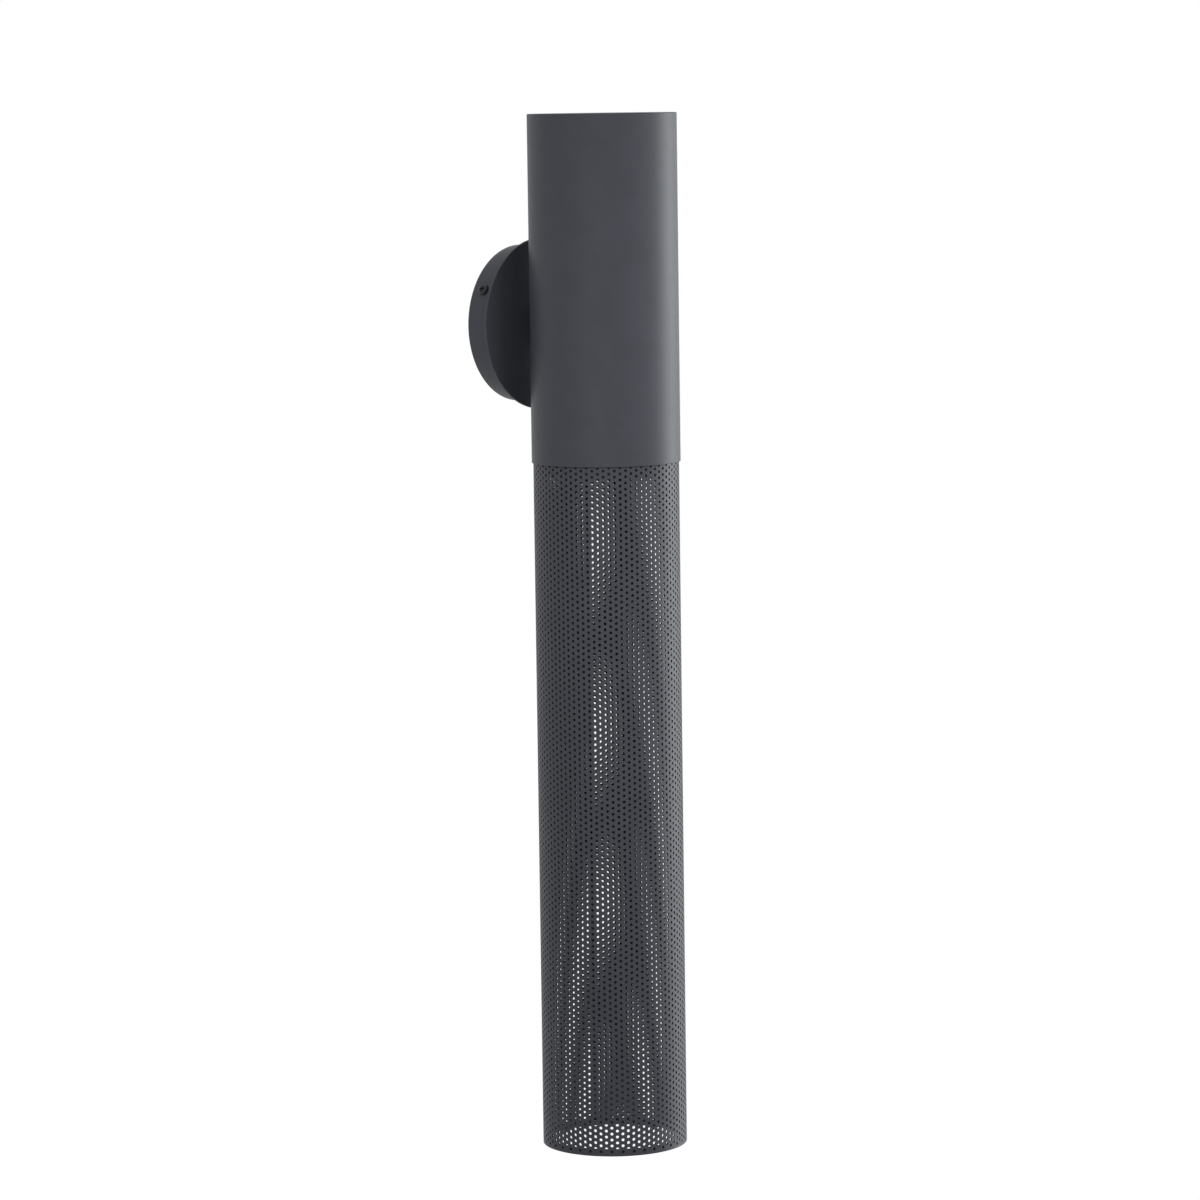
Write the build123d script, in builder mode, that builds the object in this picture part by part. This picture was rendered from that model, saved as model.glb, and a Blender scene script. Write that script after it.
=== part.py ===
from build123d import *
import os
from math import cos, radians, sin, sqrt

# Outdoor wall sconce. A round canopy on the wall carries an upright tube, plain in its upper third
# and perforated below, with a lamp inside that shines down through the open lower end.
# Millimetres, +Z up. The wall is the plane Y = 0 and the sconce stands out towards -Y.
# The origin is the centre of the canopy's back, on the wall.

# Body tube, the plain upper third
BODY_OD = 102.0
BODY_WALL = 1.0
BODY_LENGTH = 237.4
BODY_TOP_HEIGHT = 144.0  # its top edge above the canopy's centre
BODY_EDGE_BEVEL = 0.6
BODY_EDGE_LAND = 0.2  # least flat left on a bevelled rim
CAP_THICKNESS = 1.2
CAP_RIM_HEIGHT = 8.0

# Perforated sleeve, the lower two thirds. The real sheet has about nine thousand round holes of 2.2 mm.
# Here the same staggered pattern is drawn coarser, with fewer and larger square holes.
SLEEVE_WALL = 1.0
SLEEVE_SHOWN = 474.0  # length below the body
SLEEVE_INSERT = 14.0  # length slid up inside the body
HOLE_COLUMNS = 12
HOLE_PITCH = 28.4  # from hole to hole up a column; the next column is half a pitch higher
HOLE_SIDE = 12.0

# Rings inside the sleeve
COUPLER_WALL = 1.5
COUPLER_DROP = 8.5  # how far the coupler reaches below the body
END_RING_WALL = 1.5
END_RING_HEIGHT = 4.7

# Two small screws at the back hold the body, the sleeve and the coupler together
SLEEVE_SCREW_D = 3.0
SLEEVE_SCREW_HEAD_D = 5.6
SLEEVE_SCREW_HEAD_HEIGHT = 1.8
SLEEVE_SCREW_TAIL = 1.5
SLEEVE_SCREW_SPREAD = 15.0  # degrees to each side of straight back

# Canopy: a drum on the wall and a wider face plate on its front
DRUM_OD = 108.0
DRUM_WALL = 1.2
DRUM_DEPTH = 18.7
FACE_PLATE_OD = 118.0
FACE_PLATE_THICKNESS = 2.0
FACE_PLATE_EDGE = 0.4

# Neck between the face plate and the body
NECK_OD = 25.0
NECK_LENGTH = 4.8
NECK_SEAL_THICKNESS = 1.0

# Wall bracket: a round pressed plate with two folded tabs that take the canopy's side screws
BRACKET_THICKNESS = 2.0
BRACKET_RIM_GAP = 2.5
BOX_SPACING_NARROW = 69.85  # the two standard screw spacings of a wall box
BOX_SPACING_WIDE = 88.9
BOX_SLOT_WIDTH = 4.6
WIRE_OPENING_D = 44.0
TAB_WIDTH = 14.0
TAB_ROOT = 12.0
TAB_DRUM_GAP = 0.3
TAB_FRONT_GAP = 2.5

CANOPY_SCREW_D = 4.0
CANOPY_SCREW_HEAD_D = 7.6
CANOPY_SCREW_HEAD_HEIGHT = 2.6
CANOPY_SCREW_TAIL = 3.0
CANOPY_SCREW_FROM_FRONT = 8.7
CANOPY_SCREW_ANGLE = 153.0  # degrees from +X, seen from the front
CROSS_LENGTH = 4.4
CROSS_WIDTH = 1.1
CROSS_DEPTH = 1.4

EARTH_SCREW_D = 4.0
EARTH_SCREW_HEAD_D = 8.0
EARTH_SCREW_HEAD_HEIGHT = 3.0
EARTH_SCREW_REACH = 36.0
EARTH_SCREW_ANGLE = -48.0

# Hollow threaded nipples, their nuts and washers
NIPPLE_D = 10.0
NIPPLE_BORE = 7.0
NIPPLE_END = 2.0  # thread left standing past a nut
NUT_ACROSS_FLATS = 14.0
NUT_THICKNESS = 4.0
WASHER_OD = 18.0
WASHER_THICKNESS = 0.8
BUSHING_BORE = 6.0
BUSHING_THICKNESS = 1.2

# Lampholder and the angle bracket that carries it inside the body
SADDLE_THICKNESS = 3.0
ANGLE_THICKNESS = 2.0
ANGLE_WIDTH = 24.0
ANGLE_FOOT = 14.0  # below the nipple
ANGLE_RISE = 46.0  # from the nipple up to the arm
ANGLE_REACH = 14.0  # past the lamp's axis
ANGLE_BEND = 2.0
HOLDER_OD = 40.0
HOLDER_HEIGHT = 50.0
HOLDER_NECK_OD = 32.0
HOLDER_NECK_HEIGHT = 9.0
HOLDER_SHOULDER = 3.0
HOLDER_THREAD_DEPTH = 9.0
HOLDER_CAVITY_DEPTH = 32.0
SHELL_WALL = 0.8
SHELL_LIP_GAP = 1.0
CONTACT_D = 9.0
CONTACT_HEIGHT = 3.0

# Lamp, a reflector lamp with a 26 mm screw cap
LAMP_CAP_D = 26.0
LAMP_CAP_LENGTH = 24.0
LAMP_CAP_TAPER = 2.0
LAMP_NECK_D = 25.0
LAMP_NECK_LENGTH = 4.0
LAMP_D = 64.0
LAMP_FLARE_LENGTH = 40.0
LAMP_RIM_LENGTH = 9.0
LAMP_LENS_D = 57.0
LAMP_LENS_THICKNESS = 2.5
LAMP_LENS_INSET = 0.8
LAMP_INSULATOR_HEIGHT = 2.4
LAMP_TIP_D = 9.0
LAMP_TIP_HEIGHT = 0.8

# Terminal block and the two lamp leads
LEAD_D = 2.2
LEAD_SIDES = 6  # the round lead is drawn with this many flats
LEAD_SPREAD = 1.5  # from the middle to each lead where they run side by side
LEAD_BEND = 3.5
LEAD_EXIT_DROP = 18.0  # below the lampholder's top
LEAD_POLE_RUN = 6.0  # straight above the terminal block
LEAD_SPLAY_RUN = 8.4  # height in which the leads part
LEAD_BOSS_PROUD = 2.0
LEAD_BOSS_SKIN = 1.4
BLOCK_WIDTH = 30.0
BLOCK_HEIGHT = 16.0
BLOCK_DROP = 24.0  # its top below the canopy's centre
BLOCK_BRACKET_GAP = 2.0
BLOCK_SKIN = 1.0
POLE_SPACING = 16.0
POLE_ROW_SPACING = 8.0
TERMINAL_SCREW_D = 4.0
TERMINAL_SCREW_LENGTH = 3.0
TERMINAL_SCREW_SUNK = 0.6
BLOCK_SCREW_D = 3.0
BLOCK_SCREW_HEAD_D = 5.6
BLOCK_SCREW_HEAD_HEIGHT = 2.0

# Clearances, all measured on the radius or face to face
SLIP_FIT = 0.05  # telescoped walls
SEAT_FIT = 0.25  # a round seat on the body's wall
THREAD_PLAY = 0.05  # a screw or nipple in its thread
HOLE_PLAY = 0.2  # a screw or nipple in a plain hole
LAMP_PLAY = 0.35  # the lamp's cap in its shell
LAMP_GAP = 0.3  # the lamp's tip below the centre contact

# Radii that follow
BODY_R = BODY_OD / 2
BODY_IR = BODY_R - BODY_WALL
SLEEVE_R = BODY_IR - SLIP_FIT
SLEEVE_IR = SLEEVE_R - SLEEVE_WALL
RING_R = SLEEVE_IR - SLIP_FIT
DRUM_R = DRUM_OD / 2
DRUM_IR = DRUM_R - DRUM_WALL
BRACKET_R = DRUM_IR - BRACKET_RIM_GAP
NIPPLE_R = NIPPLE_D / 2
NIPPLE_HOLE_R = NIPPLE_R + HOLE_PLAY
SHELL_IR = LAMP_CAP_D / 2 + LAMP_PLAY
SHELL_R = SHELL_IR + SHELL_WALL
CAVITY_R = SHELL_R + SLIP_FIT

# Distances from the wall that follow, in the order of the stack
DRUM_INSIDE = DRUM_DEPTH - DRUM_WALL
PLATE_FRONT = DRUM_DEPTH + FACE_PLATE_THICKNESS
SEAL_FRONT = PLATE_FRONT + NECK_SEAL_THICKNESS
BODY_BACK = PLATE_FRONT + NECK_LENGTH
BODY_AXIS = BODY_BACK + BODY_R
SADDLE_FRONT = BODY_BACK + BODY_WALL + SADDLE_THICKNESS
ANGLE_FRONT = SADDLE_FRONT + ANGLE_THICKNESS
NIPPLE_FRONT = ANGLE_FRONT + WASHER_THICKNESS + NUT_THICKNESS + NIPPLE_END
NIPPLE_REAR = DRUM_INSIDE - WASHER_THICKNESS - NUT_THICKNESS - NIPPLE_END
CANOPY_SCREW_FROM_WALL = DRUM_DEPTH - CANOPY_SCREW_FROM_FRONT
BLOCK_REAR = BRACKET_THICKNESS + BLOCK_BRACKET_GAP
LEAD_REAR = BLOCK_REAR + BLOCK_SKIN + LEAD_D / 2
LEAD_BOSS_BACK = BODY_AXIS - HOLDER_OD / 2 - LEAD_BOSS_PROUD
LEAD_DROP = (LEAD_BOSS_BACK + NIPPLE_FRONT + BUSHING_THICKNESS) / 2

# Heights that follow
BODY_BOTTOM = BODY_TOP_HEIGHT - BODY_LENGTH
SLEEVE_TOP = BODY_BOTTOM + SLEEVE_INSERT
SLEEVE_BOTTOM = BODY_BOTTOM - SLEEVE_SHOWN
COUPLER_BOTTOM = BODY_BOTTOM - COUPLER_DROP
HOLDER_BOTTOM = ANGLE_RISE - HOLDER_HEIGHT
CAVITY_TOP = HOLDER_BOTTOM + HOLDER_CAVITY_DEPTH
LAMP_TOP = CAVITY_TOP - CONTACT_HEIGHT - LAMP_GAP
LAMP_INSULATOR_TOP = LAMP_TOP - LAMP_TIP_HEIGHT
LAMP_CAP_TOP = LAMP_INSULATOR_TOP - LAMP_INSULATOR_HEIGHT
LAMP_CAP_BOTTOM = LAMP_CAP_TOP - LAMP_CAP_LENGTH
LAMP_NECK_BOTTOM = LAMP_CAP_BOTTOM - LAMP_NECK_LENGTH
LAMP_FLARE_BOTTOM = LAMP_NECK_BOTTOM - LAMP_FLARE_LENGTH
LAMP_BOTTOM = LAMP_FLARE_BOTTOM - LAMP_RIM_LENGTH
LEAD_EXIT = ANGLE_RISE - LEAD_EXIT_DROP

TUBE_AXIS = Axis((0, -BODY_AXIS, 0), (0, 0, 1))
TUBE_SECTION = Plane(origin=(0, -BODY_AXIS, 0), x_dir=(1, 0, 0), z_dir=(0, -1, 0))


def from_wall(distance, x=0.0, z=0.0):
    """Plane parallel to the wall that faces away from it: its x is X and its y is Z."""
    return Plane(origin=(x, -distance, z), x_dir=(1, 0, 0), z_dir=(0, -1, 0))


def to_wall(distance, x=0.0, z=0.0):
    """Plane parallel to the wall that faces back to it."""
    return Plane(origin=(x, -distance, z), x_dir=(-1, 0, 0), z_dir=(0, 1, 0))


def across_tube(height):
    """Level plane centred on the tube's axis."""
    return Plane(origin=(0, -BODY_AXIS, height))


def out_of_tube(angle, radius, height):
    """Plane that faces straight out of the tube, its y pointing up."""
    outward = Vector(cos(radians(angle)), sin(radians(angle)), 0)
    middle = Vector(0, -BODY_AXIS, height) + outward * radius
    return Plane(origin=middle, x_dir=(-outward.Y, outward.X, 0), z_dir=outward)


def out_of_drum(angle, radius):
    """Plane that faces straight out of the drum at the depth of the canopy's screws."""
    outward = Vector(cos(radians(angle)), 0, sin(radians(angle)))
    middle = Vector(0, -CANOPY_SCREW_FROM_WALL, 0) + outward * radius
    return Plane(origin=middle, x_dir=(0, -1, 0), z_dir=outward)


def ring(plane, outer, inner, height):
    """Plain ring that stands on the plane."""
    with BuildPart() as made:
        with BuildSketch(plane):
            Circle(outer)
            Circle(inner, mode=Mode.SUBTRACT)
        extrude(amount=height)
    return made.part


def screw(plane, head_radius, head_height, shank_radius, shank_length):
    """Screw with its head on the plane and its shank behind it."""
    with BuildPart() as made:
        with BuildSketch(plane):
            Circle(head_radius)
        extrude(amount=head_height)
        with BuildSketch(plane):
            Circle(shank_radius)
        extrude(amount=-shank_length)
    return made.part


def hex_nut(plane):
    """Nut for the nipples' thread, standing on the plane."""
    with BuildPart() as made:
        with BuildSketch(plane):
            RegularPolygon(NUT_ACROSS_FLATS / 2, 6, major_radius=False)
            Circle(NIPPLE_R + THREAD_PLAY, mode=Mode.SUBTRACT)
        extrude(amount=NUT_THICKNESS)
    return made.part


sleeve_screw_angles = [90 - SLEEVE_SCREW_SPREAD, 90 + SLEEVE_SCREW_SPREAD]
sleeve_screw_height = BODY_BOTTOM + SLEEVE_INSERT / 2
sleeve_screw_planes = [out_of_tube(angle, BODY_R, sleeve_screw_height) for angle in sleeve_screw_angles]
canopy_screw_angles = [CANOPY_SCREW_ANGLE, CANOPY_SCREW_ANGLE + 180]
canopy_screw_planes = [out_of_drum(angle, DRUM_R) for angle in canopy_screw_angles]

# Wall bracket
tab_outer = sqrt((DRUM_IR - TAB_DRUM_GAP) ** 2 - (TAB_WIDTH / 2) ** 2)
tab_depth = DRUM_INSIDE - TAB_FRONT_GAP
box_spacing = (BOX_SPACING_NARROW + BOX_SPACING_WIDE) / 2
box_slot_travel = (BOX_SPACING_WIDE - BOX_SPACING_NARROW) / 2
earth_x = EARTH_SCREW_REACH * cos(radians(EARTH_SCREW_ANGLE))
earth_z = EARTH_SCREW_REACH * sin(radians(EARTH_SCREW_ANGLE))
with BuildPart() as wall_bracket:
    with BuildSketch(from_wall(0)):
        Circle(BRACKET_R)
        with PolarLocations(tab_outer - TAB_ROOT / 2, 2, start_angle=CANOPY_SCREW_ANGLE):
            Rectangle(TAB_ROOT, TAB_WIDTH)
        Circle(WIRE_OPENING_D / 2, mode=Mode.SUBTRACT)
        with GridLocations(box_spacing, 0, 2, 1):
            SlotCenterToCenter(box_slot_travel, BOX_SLOT_WIDTH, mode=Mode.SUBTRACT)
        with Locations((earth_x, earth_z)):
            Circle(EARTH_SCREW_D / 2 + THREAD_PLAY, mode=Mode.SUBTRACT)
    extrude(amount=BRACKET_THICKNESS)
    with BuildSketch(from_wall(0)):
        with PolarLocations(tab_outer - BRACKET_THICKNESS / 2, 2, start_angle=CANOPY_SCREW_ANGLE):
            Rectangle(BRACKET_THICKNESS, TAB_WIDTH)
    extrude(amount=tab_depth)
    with BuildSketch(*canopy_screw_planes):
        Circle(CANOPY_SCREW_D / 2 + THREAD_PLAY)
    extrude(amount=-(DRUM_R - tab_outer + 2 * BRACKET_THICKNESS), mode=Mode.SUBTRACT)

with BuildPart() as earth_screw:
    earth_plane = from_wall(BRACKET_THICKNESS, earth_x, earth_z)
    head_radius = EARTH_SCREW_HEAD_D / 2
    add(screw(earth_plane, head_radius, EARTH_SCREW_HEAD_HEIGHT, EARTH_SCREW_D / 2, BRACKET_THICKNESS))

# Canopy drum, open to the wall
with BuildPart() as canopy_drum:
    with BuildSketch(from_wall(0)):
        Circle(DRUM_R)
    extrude(amount=DRUM_DEPTH)
    with BuildSketch(from_wall(0)):
        Circle(DRUM_IR)
    extrude(amount=DRUM_INSIDE, mode=Mode.SUBTRACT)
    with BuildSketch(from_wall(0)):
        Circle(NIPPLE_HOLE_R)
        with Locations((0, -BLOCK_DROP - BLOCK_HEIGHT / 2)):
            Circle(BLOCK_SCREW_D / 2 + THREAD_PLAY)
    extrude(amount=DRUM_DEPTH, mode=Mode.SUBTRACT)
    with BuildSketch(*canopy_screw_planes):
        Circle(CANOPY_SCREW_D / 2 + HOLE_PLAY)
    extrude(amount=-(2 * DRUM_WALL), mode=Mode.SUBTRACT)

with BuildPart() as canopy_face:
    with BuildSketch(from_wall(DRUM_DEPTH)):
        Circle(FACE_PLATE_OD / 2)
        Circle(NIPPLE_HOLE_R, mode=Mode.SUBTRACT)
    extrude(amount=FACE_PLATE_THICKNESS)
    face_rims = canopy_face.edges().filter_by(GeomType.CIRCLE).sort_by(SortBy.RADIUS)[-2:]
    chamfer(face_rims, FACE_PLATE_EDGE)

with BuildPart() as canopy_screws:
    tail = DRUM_R - tab_outer + BRACKET_THICKNESS + CANOPY_SCREW_TAIL
    for plane in canopy_screw_planes:
        add(screw(plane, CANOPY_SCREW_HEAD_D / 2, CANOPY_SCREW_HEAD_HEIGHT, CANOPY_SCREW_D / 2, tail))
        with BuildSketch(plane.offset(CANOPY_SCREW_HEAD_HEIGHT)):
            Rectangle(CROSS_LENGTH, CROSS_WIDTH)
            Rectangle(CROSS_WIDTH, CROSS_LENGTH)
        extrude(amount=-CROSS_DEPTH, mode=Mode.SUBTRACT)

# Neck: a rubber seal and a spacer cut to the tube's curve
with BuildPart() as neck_seal:
    add(ring(from_wall(PLATE_FRONT), NECK_OD / 2, NIPPLE_HOLE_R, NECK_SEAL_THICKNESS))

with BuildPart() as neck_spacer:
    add(ring(from_wall(SEAL_FRONT), NECK_OD / 2, NIPPLE_HOLE_R, NECK_LENGTH + NECK_OD / 2))
    with BuildSketch(across_tube(-NECK_OD)):
        Circle(BODY_R + SEAT_FIT)
    extrude(amount=2 * NECK_OD, mode=Mode.SUBTRACT)

# Hollow nipple that clamps the canopy, the neck and the body, and carries the leads
with BuildPart() as mounting_nipple:
    add(ring(from_wall(NIPPLE_REAR), NIPPLE_R, NIPPLE_BORE / 2, NIPPLE_FRONT - NIPPLE_REAR))

with BuildPart() as nipple_washers:
    add(ring(from_wall(DRUM_INSIDE - WASHER_THICKNESS), WASHER_OD / 2, NIPPLE_HOLE_R, WASHER_THICKNESS))
    add(ring(from_wall(ANGLE_FRONT), WASHER_OD / 2, NIPPLE_HOLE_R, WASHER_THICKNESS))

with BuildPart() as nipple_nuts:
    add(hex_nut(from_wall(DRUM_INSIDE - WASHER_THICKNESS - NUT_THICKNESS)))
    add(hex_nut(from_wall(ANGLE_FRONT + WASHER_THICKNESS)))

with BuildPart() as lead_bushings:
    add(ring(from_wall(NIPPLE_REAR - BUSHING_THICKNESS), NIPPLE_R, BUSHING_BORE / 2, BUSHING_THICKNESS))
    add(ring(from_wall(NIPPLE_FRONT), NIPPLE_R, BUSHING_BORE / 2, BUSHING_THICKNESS))

# Body tube with the nipple's hole at the back and the screw holes above its lower edge
with BuildPart() as body_tube:
    add(ring(across_tube(BODY_BOTTOM), BODY_R, BODY_IR, BODY_LENGTH))
    body_rims = body_tube.edges().filter_by(GeomType.CIRCLE).sort_by(SortBy.RADIUS)[-2:]
    chamfer(body_rims, min(BODY_EDGE_BEVEL, BODY_WALL - BODY_EDGE_LAND))
    with BuildSketch(to_wall(BODY_BACK + 2 * BODY_WALL)):
        Circle(NIPPLE_HOLE_R)
    extrude(amount=3 * BODY_WALL, mode=Mode.SUBTRACT)
    with BuildSketch(*sleeve_screw_planes):
        Circle(SLEEVE_SCREW_D / 2 + HOLE_PLAY)
    extrude(amount=2 * BODY_WALL, both=True, mode=Mode.SUBTRACT)

# Pressed cup that closes the body's top
cap_top = BODY_TOP_HEIGHT
with BuildPart() as top_cap:
    with BuildSketch(across_tube(cap_top - CAP_RIM_HEIGHT)):
        Circle(BODY_IR - SLIP_FIT)
    extrude(amount=CAP_RIM_HEIGHT)
    with BuildSketch(across_tube(cap_top - CAP_RIM_HEIGHT)):
        Circle(BODY_IR - SLIP_FIT - CAP_THICKNESS)
    extrude(amount=CAP_RIM_HEIGHT - CAP_THICKNESS, mode=Mode.SUBTRACT)

# Perforated sleeve: plain ends and a stack of like bands. Each band has a row of holes in every other
# column and a second row half a pitch higher in the columns between.
hole_zone = COUPLER_BOTTOM - SLEEVE_BOTTOM - END_RING_HEIGHT
band_count = int(hole_zone / HOLE_PITCH)
band_low = SLEEVE_BOTTOM + END_RING_HEIGHT + (hole_zone - band_count * HOLE_PITCH) / 2
band_high = band_low + band_count * HOLE_PITCH
column_step = 360 / HOLE_COLUMNS
with BuildPart() as sleeve_band:
    add(ring(across_tube(0), SLEEVE_R, SLEEVE_IR, HOLE_PITCH))
    for stagger in (0, 1):
        row_height = HOLE_PITCH / 4 + stagger * HOLE_PITCH / 2
        row_angles = [column * column_step for column in range(stagger, HOLE_COLUMNS, 2)]
        with BuildSketch(*[out_of_tube(angle, SLEEVE_R, row_height) for angle in row_angles]):
            Rectangle(HOLE_SIDE, HOLE_SIDE)
        extrude(amount=2 * SLEEVE_WALL, both=True, mode=Mode.SUBTRACT)

with BuildPart() as perforated_sleeve:
    add(ring(across_tube(band_high), SLEEVE_R, SLEEVE_IR, SLEEVE_TOP - band_high))
    with BuildSketch(*sleeve_screw_planes):
        Circle(SLEEVE_SCREW_D / 2 + HOLE_PLAY)
    extrude(amount=-3 * (BODY_WALL + SLEEVE_WALL), mode=Mode.SUBTRACT)
    with Locations(*[(0, 0, band_low + band * HOLE_PITCH) for band in range(band_count)]):
        add(sleeve_band.part, clean=False)
    add(ring(across_tube(SLEEVE_BOTTOM), SLEEVE_R, SLEEVE_IR, band_low - SLEEVE_BOTTOM), clean=False)

with BuildPart() as sleeve_coupler:
    add(ring(across_tube(COUPLER_BOTTOM), RING_R, RING_R - COUPLER_WALL, SLEEVE_TOP - COUPLER_BOTTOM))
    with BuildSketch(*sleeve_screw_planes):
        Circle(SLEEVE_SCREW_D / 2 + THREAD_PLAY)
    extrude(amount=-2 * (BODY_R - RING_R + COUPLER_WALL), mode=Mode.SUBTRACT)

with BuildPart() as end_ring:
    add(ring(across_tube(SLEEVE_BOTTOM), RING_R, RING_R - END_RING_WALL, END_RING_HEIGHT))

with BuildPart() as sleeve_screws:
    tail = BODY_R - RING_R + COUPLER_WALL + SLEEVE_SCREW_TAIL
    for plane in sleeve_screw_planes:
        add(screw(plane, SLEEVE_SCREW_HEAD_D / 2, SLEEVE_SCREW_HEAD_HEIGHT, SLEEVE_SCREW_D / 2, tail))

# Saddle inside the body: round against the tube, flat for the angle bracket
with BuildPart() as saddle_plate:
    with BuildSketch(across_tube(-ANGLE_FOOT)):
        Circle(BODY_IR - SEAT_FIT)
        with Locations((0, BODY_AXIS - SADDLE_FRONT + BODY_R / 2)):
            Rectangle(ANGLE_WIDTH, BODY_R, mode=Mode.INTERSECT)
    extrude(amount=2 * ANGLE_FOOT)
    with BuildSketch(from_wall(BODY_BACK)):
        Circle(NIPPLE_HOLE_R)
    extrude(amount=2 * SADDLE_THICKNESS + BODY_WALL, mode=Mode.SUBTRACT)

# Angle bracket: a flat leg on the saddle and an arm over the lamp's axis
with BuildPart() as angle_bracket:
    with BuildSketch(Plane.YZ.offset(-ANGLE_WIDTH / 2)):
        with BuildLine():
            arm_end = -(BODY_AXIS + ANGLE_REACH)
            arm_top = ANGLE_RISE + ANGLE_THICKNESS
            Polyline(
                (-SADDLE_FRONT, -ANGLE_FOOT),
                (-SADDLE_FRONT, arm_top),
                (arm_end, arm_top),
                (arm_end, ANGLE_RISE),
                (-ANGLE_FRONT, ANGLE_RISE),
                (-ANGLE_FRONT, -ANGLE_FOOT),
                close=True,
            )
        make_face()
    extrude(amount=ANGLE_WIDTH)
    bend_edges = angle_bracket.edges().filter_by(Axis.X)
    inner_bend = bend_edges.sort_by_distance((0, -ANGLE_FRONT, ANGLE_RISE))[0]
    outer_bend = bend_edges.sort_by_distance((0, -SADDLE_FRONT, arm_top))[0]
    fillet(inner_bend, ANGLE_BEND)
    fillet(outer_bend, ANGLE_BEND + ANGLE_THICKNESS)
    with BuildSketch(from_wall(SADDLE_FRONT)):
        Circle(NIPPLE_HOLE_R)
    extrude(amount=ANGLE_THICKNESS, mode=Mode.SUBTRACT)
    with BuildSketch(across_tube(ANGLE_RISE)):
        Circle(NIPPLE_HOLE_R)
    extrude(amount=ANGLE_THICKNESS, mode=Mode.SUBTRACT)

with BuildPart() as holder_nipple:
    nipple_foot = ANGLE_RISE - HOLDER_THREAD_DEPTH
    nipple_head = ANGLE_RISE + ANGLE_THICKNESS + WASHER_THICKNESS + NUT_THICKNESS + NIPPLE_END
    add(ring(across_tube(nipple_foot), NIPPLE_R, NIPPLE_BORE / 2, nipple_head - nipple_foot))

with BuildPart() as holder_washer:
    add(ring(across_tube(ANGLE_RISE + ANGLE_THICKNESS), WASHER_OD / 2, NIPPLE_HOLE_R, WASHER_THICKNESS))

with BuildPart() as holder_nut:
    add(hex_nut(across_tube(ANGLE_RISE + ANGLE_THICKNESS + WASHER_THICKNESS)))

# Porcelain lampholder, turned about the tube's axis, with a flat boss where the leads come out
with BuildPart() as lampholder:
    with BuildSketch(TUBE_SECTION):
        with BuildLine():
            Polyline(
                (NIPPLE_R + THREAD_PLAY, ANGLE_RISE),
                (HOLDER_NECK_OD / 2, ANGLE_RISE),
                (HOLDER_NECK_OD / 2, ANGLE_RISE - HOLDER_NECK_HEIGHT),
                (HOLDER_OD / 2, ANGLE_RISE - HOLDER_NECK_HEIGHT - HOLDER_SHOULDER),
                (HOLDER_OD / 2, HOLDER_BOTTOM),
                (CAVITY_R, HOLDER_BOTTOM),
                (CAVITY_R, CAVITY_TOP),
                (0, CAVITY_TOP),
                (0, ANGLE_RISE - HOLDER_THREAD_DEPTH),
                (NIPPLE_R + THREAD_PLAY, ANGLE_RISE - HOLDER_THREAD_DEPTH),
                close=True,
            )
        make_face()
    revolve(axis=TUBE_AXIS)
    with BuildSketch(from_wall(LEAD_BOSS_BACK)):
        with Locations((0, LEAD_EXIT)):
            Rectangle(2 * LEAD_SPREAD + LEAD_D + 2 * LEAD_BOSS_SKIN, LEAD_D + 2 * LEAD_BOSS_SKIN)
    extrude(until=Until.NEXT)

with BuildPart() as screw_shell:
    shell_length = HOLDER_CAVITY_DEPTH - SHELL_LIP_GAP
    add(ring(across_tube(CAVITY_TOP - shell_length), SHELL_R, SHELL_IR, shell_length))

with BuildPart() as centre_contact:
    with BuildSketch(across_tube(CAVITY_TOP - CONTACT_HEIGHT)):
        Circle(CONTACT_D / 2)
    extrude(amount=CONTACT_HEIGHT)

# Lamp, in its own body because it turns in the lampholder
with BuildPart() as lamp_tip:
    with BuildSketch(across_tube(LAMP_INSULATOR_TOP)):
        Circle(LAMP_TIP_D / 2)
    extrude(amount=LAMP_TIP_HEIGHT)

with BuildPart() as lamp_insulator:
    with BuildSketch(across_tube(LAMP_CAP_TOP)):
        Circle(LAMP_CAP_D / 2 - LAMP_CAP_TAPER)
    with BuildSketch(across_tube(LAMP_INSULATOR_TOP)):
        Circle(LAMP_TIP_D / 2)
    loft()

with BuildPart() as lamp_cap:
    with BuildSketch(across_tube(LAMP_CAP_BOTTOM)):
        Circle(LAMP_CAP_D / 2)
    extrude(amount=LAMP_CAP_LENGTH)
    chamfer(lamp_cap.faces().sort_by(Axis.Z)[-1].edges(), LAMP_CAP_TAPER)

with BuildPart() as lamp_housing:
    lens_seat = LAMP_BOTTOM + LAMP_LENS_INSET + LAMP_LENS_THICKNESS
    lens_seat_radius = LAMP_LENS_D / 2 + SLIP_FIT
    with BuildSketch(TUBE_SECTION):
        with BuildLine():
            Polyline(
                (0, LAMP_CAP_BOTTOM),
                (LAMP_NECK_D / 2, LAMP_CAP_BOTTOM),
                (LAMP_NECK_D / 2, LAMP_NECK_BOTTOM),
                (LAMP_D / 2, LAMP_FLARE_BOTTOM),
                (LAMP_D / 2, LAMP_BOTTOM),
                (lens_seat_radius, LAMP_BOTTOM),
                (lens_seat_radius, lens_seat),
                (0, lens_seat),
                close=True,
            )
        make_face()
    revolve(axis=TUBE_AXIS)

with BuildPart() as lamp_lens:
    with BuildSketch(across_tube(LAMP_BOTTOM + LAMP_LENS_INSET)):
        Circle(LAMP_LENS_D / 2)
    extrude(amount=LAMP_LENS_THICKNESS)

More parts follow.
